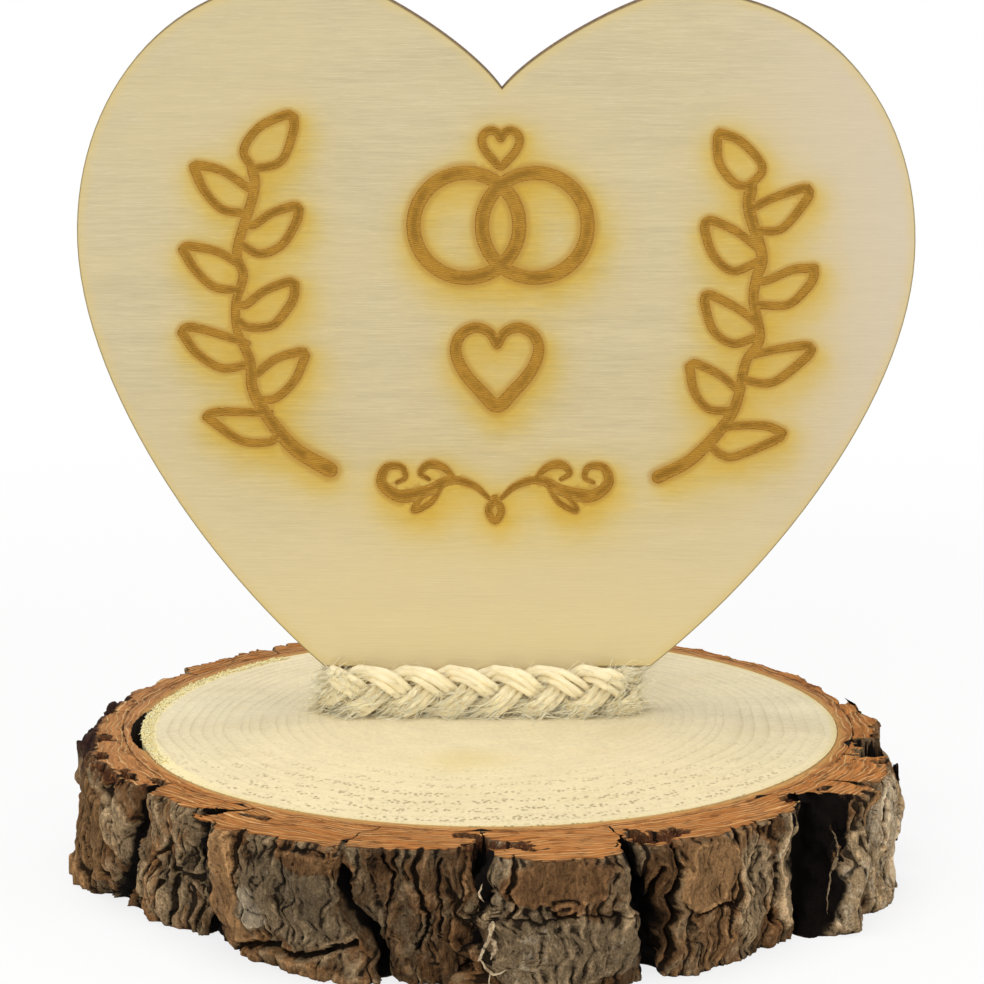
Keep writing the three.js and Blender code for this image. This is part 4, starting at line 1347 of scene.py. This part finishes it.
def smoke_density(places, lines):
    """How dark the smoke has stained each place: it spreads from the lines and drifts off them."""
    density = np.zeros(len(places))
    for spread, drift, strength in SMOKE:
        for line, half in lines:
            for centre, radius in zip(line[::2] + drift, half[::2]):
                near = np.abs(places[:, 1] - centre[1]) < 3.2 * spread
                away = ((places[near] - centre) ** 2).sum(1)
                density[near] += 4 * LINE_STEP * strength * radius * np.exp(-away / (2 * spread**2))
    return 2 * (1 - np.exp(-0.62 * density))


def loose_points(low, high, marks):
    """Places spread over the heart's face for its triangles, closer together near the lines."""
    rng = random.Random(5)
    places = []
    for spacing, fine in ((FACE_GRID, False), (FINE_GRID, True)):
        for x in np.arange(low.x / MM, high.x / MM, spacing):
            for z in np.arange(low.z / MM, high.z / MM, spacing):
                place = (x + rng.uniform(-0.2, 0.2) * spacing, z + rng.uniform(-0.2, 0.2) * spacing)
                if (marks.find((*place, 0))[2] < FINE_REACH) == fine:
                    places.append(place)
    return np.array(places)


def outline_distance(places, outline):
    """How far each place is from the outline. More than 9 mm counts as 9."""
    nearest = np.full(len(places), 9.0)
    for start, run in zip(outline, np.roll(outline, -1, 0) - outline):
        along = np.clip(((places - start) @ run) / (run @ run), 0, 1)
        nearest = np.minimum(nearest, np.linalg.norm(places - start - along[:, None] * run, axis=1))
    return nearest


def around_face(face):
    """A face's edges as pairs of points."""
    return zip(face, face[1:] + face[:1])


def nearest_ids(places, outline):
    """For each corner of the outline, which place is nearest."""
    return [int(np.argmin(((places - place) ** 2).sum(1))) for place in outline]


def upright(places, depth):
    """Places on the heart's face as points at a depth in the CAD frame."""
    return np.column_stack([places[:, 0], np.broadcast_to(depth, len(places)), places[:, 1]])


def heart_front(settings, finishes):
    """The front veneer with its engraving sunk into it."""
    node = "heart_front_veneer"
    low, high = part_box(node)
    outline = front_outline(node)
    lines = engraved_lines(settings)
    radii = np.concatenate([half for _, half in lines])
    marks = kdtree.KDTree(len(radii))
    for index, place in enumerate(np.concatenate([line for line, _ in lines])):
        marks.insert((*place, 0), index)
    marks.balance()

    spots = loose_points(low, high, marks)
    spots = spots[is_inside(spots, inset(outline, EDGE_INSETS[-1] + 0.3))]
    borders = [line_border(line, half) for line, half in lines]
    rims = [inset(outline, distance) for distance in EDGE_INSETS]
    loose = np.concatenate([*rims[1:], *(line for line, _ in lines), spots])
    places, triangles = triangulated([outline, rims[0], *borders], loose)
    triangles = triangles[is_inside(places[triangles].mean(1), outline)]
    sunk = np.array([
        any(distance < radii[index] * 0.998 for _, index, distance in marks.find_range((*centre, 0), 1.2))
        for centre in places[triangles].mean(1)
    ])
    nearest = [marks.find((*place, 0))[1:] for place in places]
    border = np.array([min(distance / radii[index], FAR_FROM_LINES) for index, distance in nearest])
    smoke = smoke_density(places, lines)
    from_edge = outline_distance(places, outline)

    count = len(places)
    back_places, back_triangles = triangulated([outline], [])
    back_triangles = back_triangles[is_inside(back_places[back_triangles].mean(1), outline)]
    faces = triangles[~sunk].tolist()
    floors = (triangles[sunk] + count).tolist()
    face_edges = {pair for face in faces for pair in around_face(face)}
    walls = [
        (a - count, b - count, b, a)
        for floor in floors for a, b in around_face(floor) if (b - count, a - count) in face_edges
    ]
    front_ids = nearest_ids(places, outline)
    back_ids = [2 * count + index for index in nearest_ids(back_places, outline)]
    edge = [(a, c, d, b) for (a, b), (c, d) in zip(around_face(front_ids), around_face(back_ids))]
    backs = (back_triangles[:, ::-1] + 2 * count).tolist()

    every_face = faces + floors + walls + edge + backs
    kinds = [0] * len(faces) + [1] * len(floors + walls) + [2] * len(edge) + [0] * len(backs)
    front = low.y / MM
    uneven = 1 + 0.16 * wavy_at(places[:, 0] / 2.2, places[:, 1] / 0.3, 0)
    floor = upright(places, front + settings.engraving_depth / MM * uneven)
    points = np.concatenate([upright(places, front), floor, upright(back_places, high.y / MM)])
    used = np.unique(np.concatenate([np.array(face) for face in every_face]))
    renumbered = np.zeros(len(points), int)
    renumbered[used] = np.arange(len(used))
    marked = {
        name: np.concatenate([values, values, np.full(len(back_places), behind)])[used]
        for name, values, behind in (
            ("smoke", smoke, 0.0), ("from_edge", from_edge, 0.0), ("border", border, FAR_FROM_LINES))
    }
    shape = Shape()
    shape.add(points[used], [renumbered[list(face)].tolist() for face in every_face], **marked)
    return shape.piece("engraved_heart", finishes, [node], kinds, smooth=False)


# Colours of the veneer beside its settings: dull patches and pale flecks, a painted reflection of light
# from the sawn wood that yellows the foot, greyed on the right, scorched beside the lines, tanned and burnt
# along its edge
DULL_VENEER = (0.66, 0.54, 0.30)
PALE_VENEER = (0.80, 0.70, 0.48)
BOUNCE_LIT_VENEER = (0.79, 0.66, 0.36)
GREY_VENEER = (0.675, 0.57, 0.42)
SCORCH = (0.45, 0.235, 0.033)
EDGE_TAN = (0.70, 0.53, 0.18)
EDGE_BURN = (0.22, 0.16, 0.05)

# Share of red, green and blue light that one measure of smoke lets through
SMOKE_TINT = (0.985, 0.84, 0.38)

# Colour of the engraved floor close to its walls
WALL_SHADE = (0.64, 0.38, 0.09)


def veneer_colour(finish, settings):
    """Basswood veneer: fine grain that runs across the heart."""
    grain = finish.noise((5.0, 5.0, 0.17), detail=3.0, roughness=0.65)
    broad = finish.noise((40.0, 40.0, 3.0), detail=3.0)
    blotch = finish.noise((16.0, 16.0, 12.0), detail=3.0)
    flecks = finish.rise(finish.noise((2.0, 2.0, 0.15), detail=1.0), 0.62, 0.78)
    base = finish.coated(
        finish.tinted(settings.veneer, 0.66 + 0.48 * grain + 0.16 * broad),
        (DULL_VENEER, 0.4 * finish.rise(blotch, 0.42, 0.62)),
        (PALE_VENEER, flecks * 0.3),
    )
    return base, grain


def veneer_finish(settings):
    """The heart's face: bare veneer, smoke stains round the engraving and a thin burnt rim."""
    finish = Finish("basswood_veneer")
    base, grain = veneer_colour(finish, settings)
    # Painted reflection: the foot of the face is made lighter and yellower, as if lit by light bounced off
    # the sawn wood
    low = finish.rise(finish.z, 66.0, 24.0)
    base = finish.coated(
        base,
        (BOUNCE_LIT_VENEER, 0.8 * low),
        (GREY_VENEER, 0.75 * finish.rise(finish.x, 26.0, 60.0) * (1 - low)),
    )
    drift = finish.noise((3.0, 3.0, 2.4), detail=4.0, roughness=0.6)
    density = finish.mark("smoke") * (0.5 + 1.0 * drift) * settings.smoke
    red, green, blue = SMOKE_TINT
    stain = finish.joined(red ** (density**2.0), green**density, blue**density)
    from_edge = finish.mark("from_edge")
    base = finish.coated(
        finish.mix(base, stain, kind="MULTIPLY"),
        (SCORCH, 0.65 * finish.rise(finish.mark("border") + 0.6 * drift, 2.35, 1.4)),
        (EDGE_TAN, finish.rise(from_edge + 1.6 * drift, 2.6, 0.7) * 0.5),
        (EDGE_BURN, finish.rise(from_edge, 0.26, 0.02) * 0.9),
    )
    return finish.surface(base, 0.62, grain, depth=0.04, specular=0.3)


def engraved_finish(settings):
    """Wood that the laser has swept: browned, charred darkest along the lines' middles, with its sweeps."""
    finish = Finish("engraved_basswood")
    wobble = finish.noise((3.0, 3.0, 1.2))
    swept = finish.z + 0.12 * finish.x + 0.2 * wobble
    sweep = finish.math("SINE", swept * (FULL_TURN / (settings.scan_pitch / MM)))
    blotch = finish.noise((1.3, 1.3, 0.9), detail=4.0, roughness=0.7)
    streak = finish.noise((2.0, 2.0, 0.2), detail=3.0, roughness=0.65)
    border = finish.mark("border")
    core = finish.rise(border + 0.6 * (blotch - 0.5), 0.75, 0.2)
    along = finish.noise((4.0, 4.0, 4.0))
    char = core * finish.rise(along + 0.5 * streak, 0.62, 0.85) + 0.35 * finish.rise(streak, 0.5, 0.75)
    base = finish.coated(
        finish.tinted(settings.engraved, 0.62 + 0.18 * sweep + 0.8 * streak),
        (settings.charred, char * 0.5),
        (WALL_SHADE, finish.rise(border + 0.8 * blotch, 1.0, 1.5) * 0.55),
    )
    base = finish.mix(finish.tinted(settings.engraved, 0.95), base, finish.rise(finish.facing(1), 0.2, 0.8))
    return finish.surface(base, 0.8, 0.6 * sweep + blotch, depth=0.1, specular=0.15)


def burnt_edge(finish, settings):
    """Laser-cut edge: brown to black, with upright streaks."""
    streak = finish.noise((0.35, 6.0, 0.35), detail=3.0, roughness=0.6)
    base = finish.mix(finish.tinted(settings.burnt, 0.4), settings.burnt, finish.rise(streak, 0.3, 0.6))
    return base, streak


def edge_finish(settings):
    finish = Finish("laser_cut_edge")
    base, streak = burnt_edge(finish, settings)
    return finish.surface(base, 0.7, streak, depth=0.05, specular=0.2)


def ply_finish(name, settings, edge_shade):
    """A whole ply: veneer on its faces and burnt wood round its edge."""
    finish = Finish(name)
    base, grain = veneer_colour(finish, settings)
    burnt, streak = burnt_edge(finish, settings)
    face = finish.rise(finish.facing(1), 0.5, 0.7)
    base = finish.mix(finish.tinted(burnt, edge_shade), base, face)
    return finish.surface(base, 0.65, grain * face + streak * (1 - face), depth=0.04, specular=0.25)


# Braid

# The tenon that the braid goes round, and the braid's path, as in the CAD model
TENON_WIDTH = 36.4
PLAQUE_X = -1.3
PLAQUE_Y = 8.75
PLAQUE_HALF = 1.5
WRAP_RADIUS = 3.85
BRAID_SWING = 2.42
BRAID_WEAVE = 1.25
BRAID_MIDDLE = 3.45
BRAID_PITCHES = 5
BRAID_RISE = 0.8
WRAP_LENGTH = 2 * TENON_WIDTH + FULL_TURN * WRAP_RADIUS
BUTT_GAP = 0.5
YARN_STEP = 0.3
YARN_SIDES = 12

# Heights above the slice that the cord and its hairs stay below
BRAID_TOP = 6.75
HAIR_TOP = 8.4

# Distance between the middles of two yarns as a share of their width
YARN_SPREAD = 0.76


def wrap_at(distance):
    """Places on the line round the tenon, and the directions out of the heart, from behind its middle."""
    run = TENON_WIDTH
    bend = math.pi * WRAP_RADIUS
    along = (distance + run / 2) % WRAP_LENGTH
    bent = np.clip(along - run, 0, bend) + np.clip(along - 2 * run - bend, 0, bend)
    angle = math.pi / 2 + bent / WRAP_RADIUS
    outs = np.stack([np.cos(angle), np.sin(angle)], 1)
    centre = run / 2 - np.clip(along, 0, run) + np.clip(along - run - bend, 0, run)
    return outs * WRAP_RADIUS + np.stack([centre, centre * 0], 1), outs


def strand_frame(phase):
    """A strand's middle line, and there the directions out of the heart, across and along the strand."""
    count = int((WRAP_LENGTH - BUTT_GAP) / YARN_STEP)
    distance = np.linspace(BUTT_GAP / 2, WRAP_LENGTH - BUTT_GAP / 2, count)
    places, outs = wrap_at(distance)
    swing = (BRAID_PITCHES * distance / WRAP_LENGTH + phase) * FULL_TURN
    weave = BRAID_WEAVE * np.sin(2 * swing)[:, None]
    middle = np.column_stack([places + outs * weave, BRAID_MIDDLE + BRAID_SWING * np.cos(swing)])
    along = unit(np.gradient(middle, axis=0))
    outward = np.column_stack([outs, np.zeros(count)])
    outward = unit(outward - along * (outward * along).sum(1, keepdims=True))
    return middle + (PLAQUE_X, PLAQUE_Y, SLICE_TOP), outward, np.cross(outward, along), along


def braid_strand(letter, phase, settings, finish, roots):
    """One strand: yarns side by side, each twisted of two plies. Roots collects places for hairs."""
    middle, outward, across, along = strand_frame(phase)
    rng = random.Random(100 + ord(letter))
    shape = Shape()
    width = settings.yarn_width / MM
    steps = np.arange(len(middle)) * YARN_STEP
    corners = np.arange(YARN_SIDES)
    for index in range(settings.yarns):
        side = index - (settings.yarns - 1) / 2
        start = rng.uniform(0, 50)
        offset = side * YARN_SPREAD * width + 0.35 * wavy_at(steps / 5, start, 0)
        depth = 0.22 * wavy_at(steps / 4, start, 9) - 0.16 * side * side
        path = middle + across * offset[:, None] + outward * depth[:, None]
        path[:, 2] = np.clip(path[:, 2], SLICE_TOP + 0.48 * width, SLICE_TOP + BRAID_TOP - 0.5 * width)
        before_heart = stepped(PLAQUE_Y - PLAQUE_HALF - 0.6 * width - path[:, 1], 0.0, 0.8)
        path[:, 2] += BRAID_RISE * before_heart * stepped(path[:, 2] - SLICE_TOP, 2.0, 6.0)
        turned = steps / (settings.twist_pitch / MM) * FULL_TURN + start
        plies = 1 + 0.06 * np.cos(2 * (corners * FULL_TURN / YARN_SIDES - turned[:, None]))
        swell = 1 + 0.13 * wavy_at(steps / 2.4, start, 5)[:, None]
        fuzz = 0.13 * wavy_at(corners * 2.3, steps[:, None] / 2.2, start)
        section = (0.5 * width * swell * (plies + fuzz))[..., None] * circle(YARN_SIDES)
        out = (section[..., 0] + depth[:, None]) / width
        marks = {"groove": -8 * fuzz, "out": out, "along": (steps + 40 * index)[:, None]}
        tube(shape, path, (outward, across), section, **marks)
        roots.append((path, outward, across, along))
    return shape.piece(f"hemp_strand_{letter}", [finish], [f"braid_strand_{letter}"])


def braid_fibres(settings, roots, finish):
    """Fine hairs and coarse fibres that stand off the cord."""
    rng = random.Random(23)
    shape = Shape()
    front = PLAQUE_Y - PLAQUE_HALF - 0.1
    places = range(4, len(roots[0][0]) - 4)
    bends = [at for at in places if abs(roots[0][0][at][0] - PLAQUE_X) > TENON_WIDTH / 2]
    for count in range(settings.fibres + settings.stalks):
        coarse = count >= settings.fibres
        path, outward, across, along = rng.choice(roots)
        at = rng.randrange(4, len(path) - 4)
        if count % 4 == 0:
            at = rng.choice(bends)
        elif coarse:
            at = min((rng.randrange(4, len(path) - 4) for _ in range(3)), key=lambda place: path[place][2])
        sideways = rng.uniform(-1, 1)
        out = unit(outward[at] * rng.uniform(0.1, 1) + across[at] * sideways)
        start = path[at] + out * settings.yarn_width / MM * (0.55 if coarse else 0.45)
        direction = along[at] * rng.choice([-1, 1]) + out * rng.uniform(0.0, 0.4 if coarse else 0.6)
        if coarse and rng.random() < 0.6:
            direction = np.array([0.8, 0, 0.6]) * rng.choice([-1, 1]) + out * rng.uniform(0.1, 0.4)
        direction = unit(direction + (rng.uniform(-0.35, 0.35), 0, rng.uniform(-0.45, 0.3)))
        reach = rng.uniform(1.5, 4.0) if coarse else rng.uniform(0.8, 2.6)
        curl = np.array([rng.uniform(-1, 1), rng.uniform(-0.6, 0.3), rng.uniform(-1, 0.7)])
        curl *= 0.25 if coarse else 0.6
        t = np.linspace(0, 1, 5)[:, None]
        line = start + direction * reach * t + curl * reach * 0.5 * t**2
        line[:, 2] = np.clip(line[:, 2], SLICE_TOP + 0.08, SLICE_TOP + HAIR_TOP)
        if coarse and start[1] < front:
            line[:, 1] -= 0.25 * np.sin(3 * t[:, 0])
        if start[1] < PLAQUE_Y and abs(start[0] - PLAQUE_X) < TENON_WIDTH / 2:
            line[:, 1] = np.minimum(line[:, 1], front)
        hair(shape, line, rng.uniform(0.06, 0.12) if coarse else rng.uniform(0.022, 0.05))
    return shape.piece("hemp_fibres", [finish])


def hemp_finish(settings):
    """Hemp yarn: fibres along it, a darker colour between them, and painted shade on the yarns' inner sides
    and towards the braid's foot.
    """
    finish = Finish("hemp_yarn")
    groove, out, along = (finish.mark(name) for name in ("groove", "out", "along"))
    fine = finish.noise((0.16, 0.16, 0.16), detail=3.0, roughness=0.7)
    on_yarn = finish.joined(groove * 2.2, out * 5.0, along * 0.8)
    lengthwise = finish.noise((1, 1, 1), on_yarn, detail=3.0)
    tone = finish.line_noise(along * 0.35, 2.0)
    low = finish.rise(finish.z, SLICE_TOP + 5.0, SLICE_TOP + 1.0)
    # Painted shade on the side of each yarn that faces the heart and towards the bottom of the braid, with
    # noise for the darker colour between the fibres
    shade = finish.rise(-0.55 * groove + 1.0 * fine - 0.9 * out + 0.5 * lengthwise + 0.35 * low, 0.5, 1.5)
    base = finish.tinted(settings.hemp, 0.86 + 0.36 * lengthwise + 0.28 * tone)
    base = finish.mix(base, settings.shade, shade * 0.62)
    return finish.surface(base, 0.85, fine + lengthwise, depth=0.12, specular=0.15, sheen=0.25)


# Stage


SENSOR_WIDTH = 36

# Half the floor's width in metres
FLOOR_REACH = 3.0

# Lamps: name, the setting for their power and the share of it, then in metres their size, their place
# and the height above the origin that they shine on
LAMPS = [
    ("key_lamp", "key_power", 1.0, 0.45, (-0.3, -0.8, 0.36), 0.05),
    ("side_lamp", "key_power", 0.5, 0.4, (0.6, -0.55, 0.25), 0.04),
    ("top_lamp", "top_power", 1.0, 0.5, (-0.05, 0.03, 0.8), 0.02),
]


def placed(name, data, place, target):
    """Puts a lamp or camera at a place, turned towards its target."""
    obj = bpy.data.objects.new(name, data)
    bpy.context.scene.collection.objects.link(obj)
    obj.location = place
    obj.rotation_euler = (Vector(target) - Vector(place)).to_track_quat("-Z", "Y").to_euler()
    return obj


def seen_directly(finish):
    """1 for what the camera sees, also in gloss and through glass."""
    outputs = finish.node("LightPath").socket.node.outputs
    camera, glossy, through = (
        Value(finish, outputs[name]) for name in ("Is Camera Ray", "Is Glossy Ray", "Is Transmission Ray")
    )
    return finish.math("MAXIMUM", finish.math("MAXIMUM", camera, glossy), through)


def floor_finish(settings):
    """A pale floor that looks white but keeps the topper's shadow."""
    finish = Finish("pale_floor")
    base = finish.tinted(settings.floor_colour, 0.99 + 0.02 * finish.noise((400, 400, 400), detail=1.0))
    matt = finish.node("BsdfDiffuse", sockets={"Color": base})
    glow = finish.node("Emission", sockets={"Color": (1, 1, 1), "Strength": 1.0})
    white = 0.8 + 0.2 * finish.rise(finish.hypot(finish.x, finish.y), 110.0, 330.0)
    both = finish.node("MixShader", sockets={0: seen_directly(finish) * white, 1: matt, 2: glow})
    finish.node("OutputMaterial", sockets={"Surface": both})
    return finish.owner


def white_world(strength):
    """White where the camera looks past the floor, and plain light for everything else."""
    sky = Finish("studio", bpy.data.worlds)
    level = strength + (1.0 - strength) * seen_directly(sky)
    background = sky.node("Background", sockets={"Color": (1, 1, 1), "Strength": level})
    sky.node("OutputWorld", sockets={"Surface": background})
    return sky.owner


# Operators


class TOPPER_OT_stage(bpy.types.Operator):
    """Make the floor, the lamps and the camera"""

    bl_idname = "topper.stage"
    bl_label = "Stage"

    def execute(self, context):
        scene = context.scene
        settings = scene.topper_stage
        scene.view_settings.view_transform = "Standard"
        scene.world = white_world(settings.sky_light)

        aim = Vector((settings.camera_side, 0, settings.camera_aim))
        rise = settings.camera_height
        back = Vector((0, -math.cos(rise), math.sin(rise)))
        camera = bpy.data.cameras.new("camera")
        camera.lens = settings.lens / MM
        camera.sensor_width = SENSOR_WIDTH
        camera.clip_start = 0.01
        scene.camera = placed("camera", camera, aim + back * settings.camera_distance, aim)

        for name, power, share, size, place, target_height in LAMPS:
            light = bpy.data.lights.new(name, "AREA")
            light.shape = "DISK"
            light.size = size
            light.energy = getattr(settings, power) * share
            placed(name, light, place, (0, 0, target_height))

        floor = bpy.data.meshes.new("floor")
        corners = [(x * FLOOR_REACH, y * FLOOR_REACH, 0) for x, y in ((-1, -1), (1, -1), (1, 1), (-1, 1))]
        floor.from_pydata(corners, [], [(0, 1, 2, 3)])
        floor.materials.append(floor_finish(settings))
        floor_object = bpy.data.objects.new("floor", floor)
        scene.collection.objects.link(floor_object)
        return {"FINISHED"}


class TOPPER_OT_wood(bpy.types.Operator):
    """Finish the sawn wood and tear its rim"""

    bl_idname = "topper.wood"
    bl_label = "Wood"

    def execute(self, context):
        settings = context.scene.topper_wood
        dress("wood_disc", end_grain_finish(settings))
        rim_fibres(settings)
        return {"FINISHED"}


class TOPPER_OT_bark(bpy.types.Operator):
    """Carve the bark's plates and the ring of inner bark"""

    bl_idname = "topper.bark"
    bl_label = "Bark"

    def execute(self, context):
        settings = context.scene.topper_bark
        inner_bark_piece(bast_finish(settings))
        ribbons("torn_shreds", SHREDS, "inner_bark", fibre_finish("torn_fibre"))
        patches = BARK_PATCHES + drawn_patches(seed=3, count=26)
        cracks = BARK_CRACKS + drawn_cracks(seed=4, count=22)
        finish = bark_finish(settings)
        ribbons("loose_flakes", FLAKES, "outer_bark", finish, grey=1.0, tone=1.1)
        nodes = sorted(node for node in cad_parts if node.startswith("bark_plate"))
        cells = {True: settings.cell, False: settings.back_cell}
        plates = [Plate(node, cells[node in FRONT_PLATES]) for node in nodes]
        closed_fissures(plates)
        for plate in plates:
            cork_plate(plate, finish, settings, patches, cracks)
        return {"FINISHED"}


class TOPPER_OT_heart(bpy.types.Operator):
    """Engrave the heart's front and finish its other plies"""

    bl_idname = "topper.heart"
    bl_label = "Heart"

    def execute(self, context):
        settings = context.scene.topper_heart
        heart_front(settings, [veneer_finish(settings), engraved_finish(settings), edge_finish(settings)])
        dress("heart_core_ply", ply_finish("basswood_core", settings, 0.7))
        dress("heart_back_veneer", ply_finish("basswood_back", settings, 1.1))
        return {"FINISHED"}


class TOPPER_OT_braid(bpy.types.Operator):
    """Lay the yarns of the braid and its stray fibres"""

    bl_idname = "topper.braid"
    bl_label = "Braid"

    def execute(self, context):
        settings = context.scene.topper_braid
        finish = hemp_finish(settings)
        roots = []
        for index, letter in enumerate("abc"):
            braid_strand(letter, index / 3, settings, finish, roots)
        braid_fibres(settings, roots, fibre_finish("hemp_hair"))
        return {"FINISHED"}


def dress(node, finish):
    """Gives a CAD node a finish."""
    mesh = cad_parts[node].data
    mesh.materials.clear()
    mesh.materials.append(finish)


class TOPPER_PT_panel(bpy.types.Panel):
    """The topper's pieces and their settings"""

    bl_label = "Wooden Cake Topper"
    bl_idname = "TOPPER_PT_panel"
    bl_space_type = "VIEW_3D"
    bl_region_type = "UI"
    bl_category = "Topper"

    def draw(self, context):
        for operator, name, group in STEPS:
            box = self.layout.box()
            box.operator(operator.bl_idname)
            for setting in group.__annotations__:
                box.prop(getattr(context.scene, name), setting)


STEPS = [
    (TOPPER_OT_stage, "topper_stage", StageSettings),
    (TOPPER_OT_wood, "topper_wood", WoodSettings),
    (TOPPER_OT_bark, "topper_bark", BarkSettings),
    (TOPPER_OT_heart, "topper_heart", HeartSettings),
    (TOPPER_OT_braid, "topper_braid", BraidSettings),
]
CLASSES = [cls for operator, _, group in STEPS for cls in (operator, group)] + [TOPPER_PT_panel]


def register():
    for cls in CLASSES:
        bpy.utils.register_class(cls)
    for _, name, group in STEPS:
        setattr(bpy.types.Scene, name, PointerProperty(type=group))


def unregister():
    for _, name, _ in STEPS:
        delattr(bpy.types.Scene, name)
    for cls in reversed(CLASSES):
        bpy.utils.unregister_class(cls)


def main():
    register()
    bpy.ops.topper.stage()
    bpy.ops.topper.wood()
    bpy.ops.topper.bark()
    bpy.ops.topper.heart()
    bpy.ops.topper.braid()


if __name__ == "__main__":
    main()
